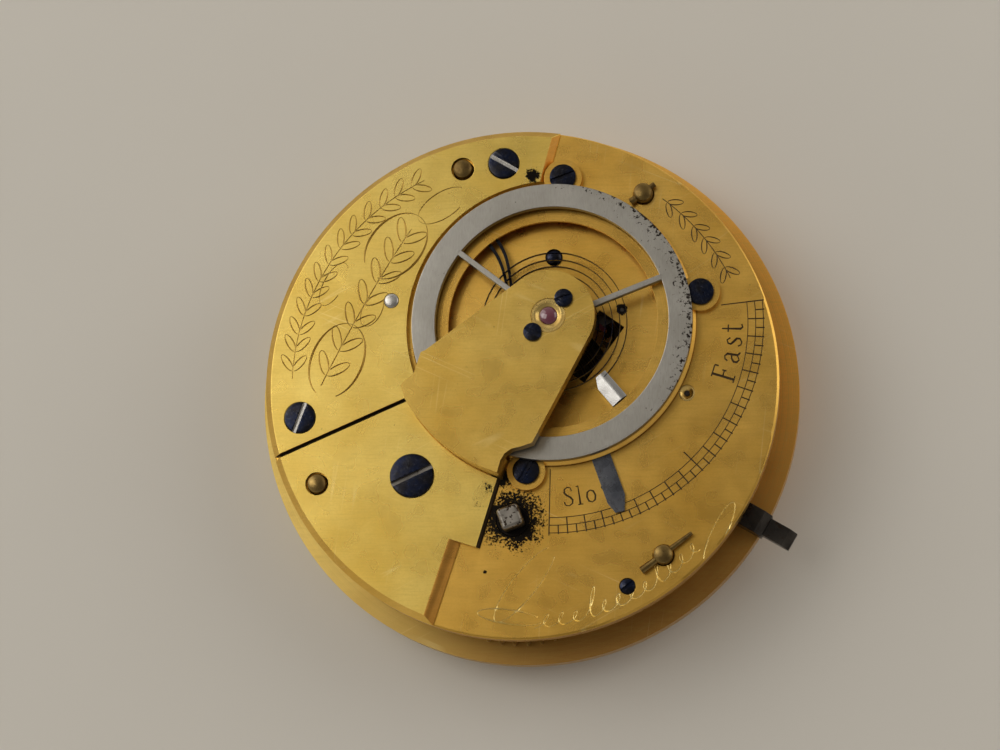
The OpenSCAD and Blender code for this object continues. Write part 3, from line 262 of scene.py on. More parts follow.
def lathe_rings(spot, centre, scale):
    """Fine rings about an upright axis, as a turning tool leaves them."""
    sockets = {"W": radius_from(spot, centre), "Scale": scale, "Detail": 4.0}
    return put(spot.id_data, "TexNoise", sockets, noise_dimensions="1D").outputs[0]


def hairlines(spot, turn, share):
    """Long fine scratches that all run one way, broken here and there."""
    sockets = {"Vector": spot, "Angle": math.radians(turn)}
    turned = put(spot.id_data, "VectorRotate", sockets, rotation_type="Z_AXIS").outputs[0]
    off = calc("ABSOLUTE", calc("SUBTRACT", cloud(stretched(turned, 0.03, 0.8, 1.0), 1.0, 0), 0.5))
    line = ease(off, 0.0, 0.014, 1.0, 0.0)
    broken = ease(cloud(turned, 0.22, 1), 0.58, 0.72)
    return calc("MULTIPLY", calc("MULTIPLY", line, broken), share)


SCRATCH_TURNS, SCRATCH_GOLD = (24, 97, 151), (0.98, 0.80, 0.36)
BLACK_DIRT_AND_SHADE, BROWN_SPECK = (0.012, 0.01, 0.008), (0.045, 0.026, 0.01)


def gilt_finish(name, pale, warm, turned=None, dirt_and_shade=(), dirt_and_shade_above=0.0, rough=0.28, metal=1.0, painted_sides=()):
    """Fire gilding: finely grained gold with brown film, specks and scratches. turned is the axis of lathe
    rings. dirt_and_shade lists (x, y, inner, outer) places where black grime, and in places painted shade,
    lies round a hole, above the height dirt_and_shade_above. painted_sides lists (bearing, from, to, tone)
    where the gold is tinted towards one side as painted light or shade."""
    finish, shader, spot = new_finish(name, metal, rough)
    colour = tint(ease(cloud(spot, 0.13, 4, 0.55), 0.32, 0.68), pale, warm)
    film = ease(cloud(spot, 0.35, 2, 0.5), 0.25, 0.80, 0.0, 0.26)
    colour = tint(film, colour, [0.55 * c for c in warm])
    # Painted light and shade: the gold is tinted towards the side where the light falls on it or leaves it.
    for bearing, low, high, tone in painted_sides:
        share = ease(towards(spot, bearing), low, high, 0.0, 0.85)
        colour = tint(share, colour, tone)
    grain = cloud(spot, 7.0, 1, 0.5)
    colour = tint(ease(grain, 0.40, 0.72, 0.0, 0.14), colour, [0.62 * c for c in warm])
    streak = ease(cloud(stretched(spot, 0.5, 7.0, 1.0), 1.0, 4, 0.6), 0.45, 0.75, 0.0, 0.28)
    colour = tint(streak, colour, [0.70 * c for c in warm])
    patch = ease(cloud(spot, 0.30, 2), 0.60, 0.74, 0.0, 0.5)
    speck = calc("MULTIPLY", ease(cloud(spot, 2.6, 1), 0.74, 0.80), patch)
    colour = tint(speck, colour, BROWN_SPECK)
    for turn in SCRATCH_TURNS:
        colour = tint(hairlines(spot, turn, 0.30), colour, SCRATCH_GOLD)
    # Black dirt, and in places painted shade, round each listed point.
    for x, y, inner, outer in dirt_and_shade:
        near = ease(radius_from(spot, (x, y)), inner, outer, 0.24, -0.20)
        mixed = calc("ADD", calc("MULTIPLY", cloud(spot, 1.1, 3), 0.30),
                     calc("MULTIPLY", cloud(spot, 5.5, 4, 0.7), 0.70))
        black = ease(calc("ADD", mixed, near), 0.52, 0.57)
        black = calc("MULTIPLY", black, calc("GREATER_THAN", height_of(spot), dirt_and_shade_above))
        colour = tint(black, colour, BLACK_DIRT_AND_SHADE)
    height = calc("MULTIPLY", grain, 0.6)
    if turned:
        rings = lathe_rings(spot, turned, 9.0)
        colour = tint(ease(rings, 0.42, 0.75, 0.0, 0.35), colour, [0.6 * c for c in warm])
        height = calc("ADD", height, rings)
    feed(shader, "Base Color", colour)
    feed(shader, "Roughness", ease(cloud(spot, 0.6, 1), 0.3, 0.7, rough - 0.03, rough + 0.05))
    relief(shader, height, 0.006, 0.4)
    return finish


# Painted light and shade: the brass edge and pillar plate turn redder towards the lit right side and browner
# towards the shaded lower right, and the pillar plate is painted black as shade under the escape slot.
LIT_SIDE_ORANGE, SHADED_SIDE_BROWN = (0.95, 0.44, 0.065), (0.30, 0.135, 0.032)
gilt_turned = gilt_finish(
    "gilt_turned", (0.90, 0.66, 0.19), (0.78, 0.53, 0.12), turned=(0, 0), rough=0.38, metal=0.7,
    dirt_and_shade=((6.2, 4.2, 3.5, 7.5),), dirt_and_shade_above=3.4, painted_sides=((-5, -6, 14, LIT_SIDE_ORANGE), (-68, 6, 21, SHADED_SIDE_BROWN)))
dress("brass_edge", "turned", 0.07, gilt_turned)


# The pillar plate is the widest plate, next to the dial. It is a turned and gilt brass disc with sinks for
# the centre wheel, holes for the pivots and a hole for each pillar's foot.
dress("pillar_plate", "turned", 0.10, gilt_turned, segments=3)


# The four pillars keep the plates apart. Each is turned from brass, with a collar at both ends and a waist
# between, riveted into the pillar plate; two end in domes in the bridges, two are pinned above the top
# plate.
Z_PLATE, Z_GAP, Z_TOP, Z_FACE, Z_BRIDGE = 3.0, 4.5, 8.9, 10.4, 11.05
PILLAR_RING, TENON = 17.75, 0.82
PILLARS = ((105.3, Z_BRIDGE + 0.3), (207.0, Z_BRIDGE + 0.3), (57.1, Z_FACE + 0.95), (-50.6, Z_FACE + 0.95))


def weld():
    """Merges points that meet, turns all faces outwards and leaves edit mode."""
    bpy.ops.mesh.select_all(action="SELECT")
    bpy.ops.mesh.remove_doubles(threshold=0.0005)
    bpy.ops.mesh.normals_make_consistent(inside=False)
    bpy.ops.object.mode_set(mode="OBJECT")


def turn_on_lathe(name, place, profile, steps=40):
    """Extrudes one vertex along a profile of (radius, height) points, and spins it round an upright axis."""
    x, y = place
    bpy.ops.object.select_all(action="DESELECT")
    bpy.ops.mesh.primitive_plane_add(size=0.1, location=(x + profile[0][0], y, profile[0][1]))
    piece = bpy.context.active_object
    piece.name = name
    bpy.ops.object.transform_apply()
    bpy.ops.object.mode_set(mode="EDIT")
    bpy.ops.mesh.select_all(action="SELECT")
    bpy.ops.mesh.merge(type="CENTER")
    for (r0, z0), (r1, z1) in zip(profile, profile[1:]):
        bpy.ops.mesh.extrude_region_move(TRANSFORM_OT_translate={"value": (r1 - r0, 0, z1 - z0)})
    bpy.ops.mesh.select_all(action="SELECT")
    bpy.ops.mesh.spin(steps=steps, angle=2 * math.pi, center=(x, y, 0), axis=(0, 0, 1))
    weld()
    smooth(piece, weight=50)
    return piece


def join(name, pieces):
    """Joins like pieces that the frame holds as one node."""
    whole = take(*pieces)
    if len(pieces) > 1:
        bpy.ops.object.join()
    whole.name = name
    return whole


def brass_finish(name, bright, dull, centre=None, rough=0.30):
    """Bare brass gone dull: brown film over bright metal, with lathe rings about an axis."""
    finish, shader, spot = new_finish(name, 1.0, rough)
    film = ease(cloud(spot, 0.9, 5, 0.65), 0.36, 0.66)
    colour = tint(film, bright, dull)
    speck = ease(cloud(spot, 5.0, 2), 0.66, 0.74, 0.0, 0.8)
    colour = tint(speck, colour, (0.05, 0.03, 0.012))
    height = cloud(spot, 11.0, 3)
    if centre:
        rings = lathe_rings(spot, centre, 7.0)
        colour = tint(ease(rings, 0.45, 0.72, 0.0, 0.4), colour, [0.55 * c for c in dull])
        height = calc("ADD", calc("MULTIPLY", height, 0.4), rings)
    feed(shader, "Base Color", colour)
    feed(shader, "Roughness", ease(film, 0.0, 1.0, rough - 0.06, rough + 0.12))
    relief(shader, height, 0.01, 0.5)
    return finish


COLLAR = ((1.30, 0.0), (1.35, 0.06), (1.35, 0.30), (1.30, 0.36), (1.16, 0.40), (1.16, 0.52), (1.26, 0.58),
          (1.30, 0.68), (1.26, 0.80), (1.10, 0.96), (1.02, 1.30))
DOME = ((0.75, 0.28), (0.72, 0.19), (0.65, 0.12), (0.52, 0.07), (0.36, 0.03), (0.16, 0.004), (0.0, 0.0))


def pillar_profile(z_end):
    """From the riveted foot over both collars and the waist to the domed end."""
    return (
        (0, Z_PLATE), (TENON, Z_PLATE), (TENON, Z_GAP), *((r, Z_GAP + h) for r, h in COLLAR),
        (0.98, (Z_GAP + Z_TOP) / 2), *((r, Z_TOP - h) for r, h in reversed(COLLAR)), (TENON, Z_TOP),
        (TENON, Z_FACE - 0.1), (0.75, Z_FACE), *((r, z_end - h) for r, h in DOME))


dull_brass = brass_finish("dull_brass", (0.27, 0.18, 0.06), (0.11, 0.068, 0.024))
made = [turn_on_lathe("pillar", polar(PILLAR_RING, a), pillar_profile(z)) for a, z in PILLARS]
settle(join("turned_pillars", made), "pillars", dull_brass)


# The pillar pins are taper pins pushed through the heads of two pillars to hold the top plate down. Each is
# filed from brass wire, thicker at one end, with both ends cut square and broken.
PIN_BEARING, PIN_LEVEL, PIN_R, PIN_TAPER = 37.0, Z_FACE + 0.475, 0.25, 0.035
PIN_SPANS = ((57.1, -1.25, 1.15), (-50.6, -2.1, 2.75))


def taper_pin(bearing, low, high):
    """A pin through the head of one pillar, reaching so far to each side of it."""
    bpy.ops.object.select_all(action="DESELECT")
    thick, thin = PIN_R - PIN_TAPER * low, PIN_R - PIN_TAPER * high
    bpy.ops.mesh.primitive_cone_add(vertices=24, radius1=thick, radius2=thin, depth=high - low)
    pin = bpy.context.active_object
    x, y = polar((low + high) / 2, PIN_BEARING, polar(PILLAR_RING, bearing))
    pin.rotation_euler = (0, math.radians(90), math.radians(PIN_BEARING))
    pin.location = (x, y, PIN_LEVEL)
    bpy.ops.object.transform_apply()
    use(pin, "rounded_ends", "BEVEL", width=0.05, segments=3, limit_method="ANGLE",
        angle_limit=math.radians(50))
    smooth(pin)
    return pin


made = [taper_pin(*span) for span in PIN_SPANS]
settle(join("taper_pins", made), "pillar_pins", dull_brass)


# The top plate carries the upper pivots, the balance and the regulator scale. It is a gilt brass disc with
# a turned recess under the balance. All its lines are cut with a graver: the scale, its words and a spray are
# dark with old wax, the pen loops along the rim are left bright.
BALANCE = (2.6, 4.45)
FUSEE = (-0.45, -10.9)


def draw_path(name, strokes, level, **settings):
    """A curve through rows of (x, y, width) points, made into a mesh."""
    curve = bpy.data.curves.new(name, "CURVE")
    curve.dimensions = "3D"
    for key, value in settings.items():
        setattr(curve, key, value)
    for stroke in strokes:
        spline = curve.splines.new("POLY")
        spline.points.add(len(stroke) - 1)
        for point, (x, y, width) in zip(spline.points, stroke):
            point.co = (x, y, level, 1)
            point.radius = width
    path = bpy.data.objects.new(name, curve)
    scene.collection.objects.link(path)
    take(path)
    bpy.ops.object.convert(target="MESH")
    return bpy.context.active_object


def engrave(piece, strokes, level, finish):
    """Cuts strokes into a piece's face with a round graver; the cut takes a finish of its own."""
    graver = draw_path("graver", strokes, level, bevel_depth=0.5, bevel_resolution=2, use_fill_caps=True)
    bpy.ops.object.mode_set(mode="EDIT")
    weld()
    graver.data.materials.append(finish)
    use(piece, "engraving", "BOOLEAN", operation="DIFFERENCE", object=graver, solver="EXACT", use_self=True,
        material_mode="TRANSFER")
    bpy.data.objects.remove(graver)


def line_stroke(p, q, width):
    """An even straight line."""
    return [(*p, width), (*q, width)]


def oval_stroke(centre, half_long, half_wide, tilt, start, end, thin, thick):
    """Part of an oval whose line swells and thins as a pen's does."""
    count = max(12, int(abs(end - start) / 6))
    stroke = []
    for i in range(count + 1):
        angle = math.radians(start + (end - start) * i / count)
        u, v = half_long * math.cos(angle), half_wide * math.sin(angle)
        swell = math.sin(angle) ** 2
        stroke.append((*polar(v, tilt + 90, polar(u, tilt, centre)), thin + (thick - thin) * swell))
    return stroke


def sprig_strokes(stem, leaf, pairs, width):
    """A laurel spray: a stem along a row of points, with pairs of leaves."""
    strokes = [[(x, y, width) for x, y in stem]]
    for k in range(pairs):
        i = round((k + 0.4) * (len(stem) - 2) / pairs)
        (x0, y0), (x1, y1) = stem[i], stem[i + 1]
        way = math.degrees(math.atan2(y1 - y0, x1 - x0))
        for lean in (-38, 38):
            middle = polar(1.05 * leaf, way + lean, (x0, y0))
            strokes.append(oval_stroke(
                middle, leaf, 0.34 * leaf, way + lean, -168, 168, 0.7 * width, 1.3 * width))
    return strokes


LETTERS = {
    "F": (((0.18, 0, 1), (0.18, 1, 1)), ((0.03, 0, 0.6), (0.36, 0, 0.6)), ((0.03, 1, 0.6), (0.64, 1, 0.6)),
          ((0.64, 1, 0.7), (0.64, 0.82, 0.7)), ((0.18, 0.52, 0.6), (0.48, 0.52, 0.6)),
          ((0.48, 0.62, 0.6), (0.48, 0.42, 0.6))),
    "a": (((0.08, 0.50, 0.7), (0.15, 0.62, 0.6), (0.30, 0.66, 0.6), (0.42, 0.55, 1), (0.42, 0.1, 1),
           (0.56, 0, 0.6)),
          ((0.42, 0.38, 0.6), (0.22, 0.33, 0.7), (0.09, 0.22, 1), (0.10, 0.08, 0.9), (0.22, 0, 0.6),
           (0.42, 0.12, 0.6))),
    "s": (((0.42, 0.52, 0.7), (0.30, 0.66, 0.6), (0.15, 0.60, 0.7), (0.12, 0.48, 0.9), (0.26, 0.35, 1),
           (0.40, 0.24, 1), (0.41, 0.10, 0.8), (0.26, 0, 0.6), (0.12, 0.03, 0.6), (0.06, 0.15, 0.7)),),
    "t": (((0.20, 0.92, 0.6), (0.20, 0.10, 1), (0.28, 0, 0.7), (0.42, 0.05, 0.6)),
          ((0.04, 0.64, 0.6), (0.40, 0.64, 0.6))),
    "S": (((0.53, 0.78, 0.7), (0.45, 0.96, 0.6), (0.28, 1, 0.6), (0.11, 0.90, 0.8), (0.09, 0.72, 1),
           (0.22, 0.57, 1), (0.42, 0.45, 1), (0.54, 0.30, 1), (0.51, 0.11, 0.8), (0.33, 0, 0.6),
           (0.14, 0.04, 0.6), (0.06, 0.22, 0.7)),),
    "l": (((0.02, 0.98, 0.6), (0.15, 1, 0.8), (0.15, 0, 1)), ((0.02, 0, 0.6), (0.30, 0, 0.6))),
    "o": (((0.30, 0.66, 0.6), (0.13, 0.57, 0.9), (0.06, 0.33, 1), (0.13, 0.09, 0.9), (0.30, 0, 0.6),
           (0.47, 0.09, 0.9), (0.54, 0.33, 1), (0.47, 0.57, 0.9), (0.30, 0.66, 0.6)),),
    "w": (((0.04, 0.66, 1), (0.22, 0, 1), (0.38, 0.60, 0.6), (0.55, 0, 1), (0.72, 0.66, 0.6)),
          ((0, 0.66, 0.6), (0.14, 0.66, 0.6)), ((0.62, 0.66, 0.6), (0.80, 0.66, 0.6))),
}
LETTER_PITCH = {"F": 0.88, "a": 0.78, "s": 0.66, "t": 0.6, "S": 0.78, "l": 0.5, "o": 0.95, "w": 0.9}


def word_on_arc(word, radius, start, height, width):
    """Roman letters on an arc, their heads towards the balance. Their strokes are rows of (across, up, width)
    points, in parts of the letters' height and the line's width."""
    strokes = []
    bearing = start
    for letter in word:
        for path in LETTERS[letter]:
            stroke = []
            for u, v, w in path:
                x, y = polar(radius - v * height, bearing + math.degrees(u * height / radius), BALANCE)
                stroke.append((x, y, w * width))
            strokes.append(stroke)
        bearing += math.degrees(LETTER_PITCH[letter] * height / radius)
    return strokes


SCALE_RINGS, TICK_END = (15.2, 15.8, 16.4), 16.5
SCALE_MIDDLE, SCALE_STEP, MIDDLE_TICK = -44.8, 5.1, 0.8
SCALE_ENDS = (SCALE_MIDDLE - 9 * SCALE_STEP, SCALE_MIDDLE + 10 * SCALE_STEP)
END_LINES = ((SCALE_ENDS[1], 13.2, 16.9, 0.10), (SCALE_ENDS[0], 11.4, 16.6, 0.09))
WORDS = (("Fast", 14.80, -19.0, 1.75, 0.20), ("Slow", 14.35, -86.4, 1.45, 0.16))
RING_LINE, TICK_LINE, RING_POINTS = 0.075, 0.11, 48
SEAM, SEAM_WIDTH = ((-18.9, -5.86), (-7.2, -0.71)), 0.34
STEP_EDGE, STEP_WIDTH = ((-1.27, -6.9), (-3.1, -13.1)), 0.30

first, last = SCALE_ENDS
bearings = [first + (last - first) * i / RING_POINTS for i in range(RING_POINTS + 1)]
scale = [[(*polar(r, a, BALANCE), RING_LINE) for a in bearings] for r in SCALE_RINGS]
for half_step in range(-18, 21):
    a = SCALE_MIDDLE + half_step * SCALE_STEP / 2
    inner = SCALE_RINGS[1] if half_step % 2 else SCALE_RINGS[0]
    if half_step == 0:
        inner -= MIDDLE_TICK
    scale.append(line_stroke(polar(inner, a, BALANCE), polar(TICK_END, a, BALANCE), TICK_LINE))
for a, low, high, width in END_LINES:
    scale.append(line_stroke(polar(low, a, BALANCE), polar(high, a, BALANCE), width))
for word in WORDS:
    scale += word_on_arc(*word)
# The wide dark lines along the seam and the fusee bridge's step edge are dirt and painted shade at the
# bridges' feet.
scale.append(line_stroke(*SEAM, SEAM_WIDTH))
scale.append(line_stroke(*STEP_EDGE, STEP_WIDTH))
scale += sprig_strokes([polar(18.3, 52.5 - 0.5 * i) for i in range(54)], leaf=0.62, pairs=6, width=0.075)

PEN_THIN, PEN_THICK = 0.09, 0.16
PEN_OVALS = (((0.55, -15.95), 3.6, 0.95, 52, 20, 330), ((-0.6, -18.45), 2.5, 0.55, -8, 30, 350),
             ((15.55, -11.9), 2.5, 0.55, 64, -160, 170))
LOOP_RISES, LOOP_STEPS = (0.95, 0.95, 0.8, 2.2, 0.95, 0.95, 0.8, 0.8, 1.9, 0.95, 0.8, 0.8), 24
LOOP_FOOT, LOOP_START, LOOP_PITCH, LOOP_SWING, LOOP_LEAN = 19.35, -86.0, 3.55, 1.15, 1.7
pen = [oval_stroke(*oval, PEN_THIN, PEN_THICK) for oval in PEN_OVALS]
running = []
for i in range(len(LOOP_RISES) * LOOP_STEPS + 1):
    t = i / LOOP_STEPS
    phase = 2 * math.pi * t
    rise = LOOP_RISES[min(int(t), len(LOOP_RISES) - 1)] * (1 - math.cos(phase)) / 2
    bearing = LOOP_START + LOOP_PITCH * t + LOOP_SWING * math.sin(phase) + LOOP_LEAN * rise
    running.append((*polar(LOOP_FOOT - rise, bearing), PEN_THIN + 0.07 * max(0.0, -math.sin(phase))))
pen.append(running)

# Black dirt round the winding square and at one spot beside the balance; dirt and painted shade in two spots
# along the fusee bridge's step edge; painted shade in a small hole. The plate is also painted darker towards
# the bottom as shade.
SOILED_AND_SHADED = ((*FUSEE, 0.95, 3.7), (-1.3, -7.6, 0.2, 1.6), (-2.1, -10.0, 0.1, 1.0),
          (-2.54, -14.96, 0.04, 0.26), (7.9, 5.85, 0.30, 0.60))
gilt_plate = gilt_finish("gilt_plate", (0.89, 0.55, 0.124), (0.75, 0.415, 0.067), dirt_and_shade=SOILED_AND_SHADED,
                         painted_sides=((-75, 0, 22, (0.66, 0.385, 0.072)),))
# The engraved lines' finish is old wax in the scale and its words, and dirt and painted shade along the
# bridges' edges.
wax_and_shade = mottled_finish("engraved_line", 0.4, 0.6, (3.0, 3), (0.10, 0.055, 0.015), (0.03, 0.018, 0.008),
                     (14.0, 2), 0.01, 0.5)
oil_and_shade = mottled_finish("oil_and_shade", 0.3, 0.5, (2.0, 4), (0.03, 0.02, 0.012), (0.008, 0.006, 0.005),
                         (9.0, 3), 0.01, 0.5)
bright_cut = gilt_finish("bright_cut_line", (0.98, 0.78, 0.34), (0.90, 0.66, 0.22), rough=0.22)

top_plate = worked("top_plate", "engraved_top_plate", 0.05, gilt_plate)
PLATE_R, RIM_CHAMFER = 20.2, 0.16
for point in top_plate.data.vertices:
    away = math.hypot(point.co.x, point.co.y)
    if point.co.z > Z_FACE - 0.002 and away > PLATE_R - 0.07:
        point.co.x *= 1 - RIM_CHAMFER / away
        point.co.y *= 1 - RIM_CHAMFER / away
    elif point.co.z > Z_FACE - 0.07 and away > PLATE_R - 0.03:
        point.co.z -= 0.8 * RIM_CHAMFER
engrave(top_plate, scale, Z_FACE + 0.01, wax_and_shade)
engrave(top_plate, pen, Z_FACE + 0.01, bright_cut)
ESCAPE_SLOT, SLOT_REACH, Z_RECESS = Vector((7.5, 3.0)), 5.0, 9.6
# Painted shade: the escape slot's inner walls take the dark oil finish.
top_plate.data.materials.append(oil_and_shade)
for face in top_plate.data.polygons:
    inside = (face.center.xy - ESCAPE_SLOT).length < SLOT_REACH and face.center.z < Z_RECESS - 0.02
    if inside and abs(face.normal.z) < 0.9:
        face.material_index = len(top_plate.data.materials) - 1
smooth(top_plate)
settle(top_plate, "top_plate")


# The barrel bridge is the raised plate at the upper left, over the mainspring barrel. It is gilt brass with
# a bevelled edge, engraved with pen flourishes, and screwed down so that the barrel comes out by itself.
BROAD, FINE = (0.06, 0.19), (0.05, 0.10)
OVALS = (
    ((-14.44, 1.75), 3.1, 2.05, 68, -150, 165, *BROAD),
    ((-9.93, 10.94), 3.0, 2.1, 50, -165, 150, *BROAD),
    ((-11.74, 5.71), 1.35, 0.75, 62, 20, 330, *FINE),
    ((-6.27, 14.17), 2.2, 1.05, 33, 20, 300, *FINE),
    ((-14.86, 7.92), 1.9, 0.8, 62, -30, 250, *FINE),
)
flourish = [oval_stroke(*oval) for oval in OVALS]
border = [polar(18.0, 179.0 - 0.5 * i) for i in range(128)]
flourish += sprig_strokes(border, leaf=0.78, pairs=13, width=0.085)
diagonal = [(-15.7 + 0.14 * i, 0.2 + 0.252 * i - 0.0008 * (i - 25) ** 2) for i in range(51)]
flourish += sprig_strokes(diagonal, leaf=1.0, pairs=7, width=0.095)

shallow_cut = gilt_finish("shallow_cut_line", (0.62, 0.42, 0.11), (0.40, 0.25, 0.055), rough=0.26)
# A black spot beside the top cap ring screw, and dirt and painted shade in two spots along the fusee bridge's
# step edge.
gilt_bridge = gilt_finish("gilt_bridge", (0.87, 0.65, 0.178), (0.74, 0.495, 0.10),
                          dirt_and_shade=((0.95, 16.45, 0.2, 1.0), (-2.3, -8.4, -0.7, 1.2), (-3.0, -9.7, -1.1, 1.2)))
# Painted shade on sloping faces: a redder, darker gold for the bridges' bevels, a lighter one for the outer
# rim's.
shaded_bevel = gilt_finish("shaded_bevel", (0.78, 0.40, 0.085), (0.62, 0.28, 0.05))
rim_bevel = gilt_finish("rim_bevel", (0.88, 0.57, 0.14), (0.70, 0.42, 0.08))
RIM_FROM, EDGE_REACH = 19.0, 0.5


def tone_bevels(piece):
    """Gives a bridge's sloping edges a redder, darker painted shade, and those at the outer rim a lighter
    painted shade; the walls along the seam and the step edge take the dark engraving finish as dirt and
    painted shade.
    """
    index = len(piece.data.materials)
    for finish in (shaded_bevel, wax_and_shade, rim_bevel):
        piece.data.materials.append(finish)
    for face in piece.data.polygons:
        if face.material_index == 0 and 0.3 < face.normal.z < 0.95 and face.area > 0.05:
            face.material_index = index + 2 if face.center.xy.length > RIM_FROM else index
    for face in piece.data.polygons:
        for p, q in (SEAM, STEP_EDGE):
            p, q = Vector(p), Vector(q)
            along_edge = (face.center.xy - p).dot((q - p).normalized())
            across_edge = abs((face.center.xy - p).dot((q - p).orthogonal().normalized()))
            beside = across_edge < EDGE_REACH and -EDGE_REACH < along_edge < (q - p).length + EDGE_REACH
            if abs(face.normal.z) < 0.3 and beside:
                face.material_index = index + 1


barrel_bridge = worked("barrel_bridge", "engraved_barrel_bridge", 0.03, gilt_bridge)
engrave(barrel_bridge, flourish, Z_BRIDGE + 0.01, shallow_cut)
tone_bevels(barrel_bridge)
smooth(barrel_bridge)
settle(barrel_bridge, "barrel_bridge")


# Screws hold the bridges, the cap ring, the jewel setting and the fusee stop. Each is turned from steel,
# its head polished and blued in heat after the slot is sawn, so that the slot's floor is left bright by the
# screwdriver.
def blued_finish():
    """Dark blue steel, mottled grey, with fine scratches and brown specks."""
    finish, shader, spot = new_finish("blued_steel", 1.0, 0.24)
    hue = ease(cloud(spot, 0.8, 4, 0.6), 0.38, 0.62)
    colour = tint(hue, (0.014, 0.019, 0.042), (0.022, 0.021, 0.024))
    mottle = ease(cloud(spot, 5.0, 4, 0.7), 0.52, 0.72, 0.0, 0.6)
    colour = tint(mottle, colour, (0.07, 0.072, 0.08))
    worn = calc("MAXIMUM", hairlines(spot, 40, 0.8), hairlines(spot, 120, 0.6))
    colour = tint(worn, colour, (0.22, 0.22, 0.24))
    speck = ease(cloud(spot, 6.0, 2), 0.68, 0.74, 0.0, 0.7)
    feed(shader, "Base Color", tint(speck, colour, (0.05, 0.035, 0.025)))
    feed(shader, "Roughness", ease(cloud(spot, 3.0, 3), 0.3, 0.7, 0.14, 0.30))
    relief(shader, cloud(spot, 8.0, 3), 0.006, 0.4)
    return finish


def steel_finish(name, bright, dull, rough, pits=0.0, dark_below=None):
    """Filed or polished steel with faint rust. pits is how far the rust has eaten in, dark_below the heights
    between which the steel fades from black at the bottom to its own colour."""
    finish, shader, spot = new_finish(name, 1.0, rough)
    colour = tint(ease(cloud(spot, 0.5, 4), 0.35, 0.65), bright, dull)
    worn = calc("MAXIMUM", hairlines(spot, 62, 0.4), hairlines(spot, 8, 0.4))
    colour = tint(worn, colour, [min(1.0, 1.5 * c) for c in bright])
    height = cloud(spot, 12.0, 3)
    if pits:
        eaten = cloud(spot, 2.6, 4, 0.62)
        hole = ease(eaten, 0.66 - 0.1 * pits, 0.71 - 0.1 * pits)
        colour = tint(hole, colour, (0.03, 0.02, 0.014))
        height = calc("SUBTRACT", height, calc("MULTIPLY", hole, 2.5))
    if dark_below:
        level = calc("ADD", height_of(spot), cloud(spot, 2.0, 4))
        colour = tint(ease(level, *dark_below, 1.0, 0.0), colour, (0.012, 0.01, 0.009))
    feed(shader, "Base Color", colour)
    feed(shader, "Roughness", ease(cloud(spot, 1.6, 5), 0.3, 0.7, rough - 0.05, rough + 0.09))
    relief(shader, height, 0.01, 0.5)
    return finish


blued = blued_finish()
bare_steel = steel_finish("bare_steel", (0.60, 0.58, 0.55), (0.42, 0.40, 0.37), 0.24)
slot_steel = steel_finish("slot_steel", (0.26, 0.24, 0.21), (0.11, 0.10, 0.09), 0.36, pits=0.5)
SLOT_WIDTH, SLOT_DEPTH = 0.36, 0.42


def block(sides, place, turn):
    """A rectangular block, turned about the upright."""
    bpy.ops.object.select_all(action="DESELECT")
    bpy.ops.mesh.primitive_cube_add(size=1.0, location=place, rotation=(0, 0, math.radians(turn)))
    piece = bpy.context.active_object
    piece.scale = sides
    bpy.ops.object.transform_apply()
    return piece


def slotted_screw(place, head_r, head_h, shank_r, z, z_end, slot, crown=0.03, wear=0):
    """A turned screw with a rounded head and a sawn slot.
    wear 1 leaves the slot bright, 2 leaves it grey and 0 as blue as the head."""
    top = z + head_h
    corner = 0.30 * head_h
    screw = turn_on_lathe("screw", place, (
        (0, z_end), (0.7 * shank_r, z_end), (shank_r, z_end + 0.3 * shank_r), (shank_r, z),
        (head_r - 0.02, z), (head_r, z + 0.02), (head_r, top - corner),
        (head_r - 0.12 * corner, top - 0.55 * corner), (head_r - 0.45 * corner, top - 0.15 * corner),
        (head_r - corner, top),
        *(((head_r - corner) * t, top + crown * (1 - t * t)) for t in (0.8, 0.6, 0.4, 0.2, 0.0))), 48)
    floor = top - SLOT_DEPTH * head_h
    width = SLOT_WIDTH * min(1.0, 0.55 + head_r / 4)
    saw = block((2 * head_r + 1, width, 1.0), (*place, floor + 0.5), slot)
    use(screw, "slot", "BOOLEAN", operation="DIFFERENCE", object=saw, solver="EXACT")
    bpy.data.objects.remove(saw)
    for finish in (blued, bare_steel, slot_steel):
        screw.data.materials.append(finish)
    across = Vector(polar(1.0, slot + 90))
    for face in screw.data.polygons:
        off = abs((face.center.xy - Vector(place)).dot(across))
        inside = off <= width / 2 + 0.001 and face.center.z > floor - 0.001
        face.material_index = wear if inside else int(face.center.z < z - 0.01)
    smooth(screw, 25, 50)
    return screw


BRIDGE_SCREWS = (((-1.4, 17.5), -30), ((-17.3, -2.8), 70))
Z_SUNK, Z_THREAD_END = Z_BRIDGE - 0.35, Z_TOP + 0.1
made = [slotted_screw(p, 1.25, 0.5, 0.6, Z_SUNK, Z_THREAD_END, a, wear=1) for p, a in BRIDGE_SCREWS]
settle(join("blued_bridge_screws", made), "barrel_bridge_screws")


# The fusee bridge is the lower left part of the raised plate, over the fusee. It is gilt brass, bevelled
# along its free edges, and held by one large blued screw.
fusee_bridge = worked("fusee_bridge", "fusee_bridge_gilt", 0.03, gilt_bridge)
tone_bevels(fusee_bridge)
settle(fusee_bridge, "fusee_bridge")
BIG_SCREW = (-8.3, -7.5)
big_screw = slotted_screw(BIG_SCREW, 1.74, 0.6, 0.8, Z_SUNK, Z_THREAD_END, 25, wear=2)
settle(join("blued_fusee_bridge_screw", [big_screw]), "fusee_bridge_screw")


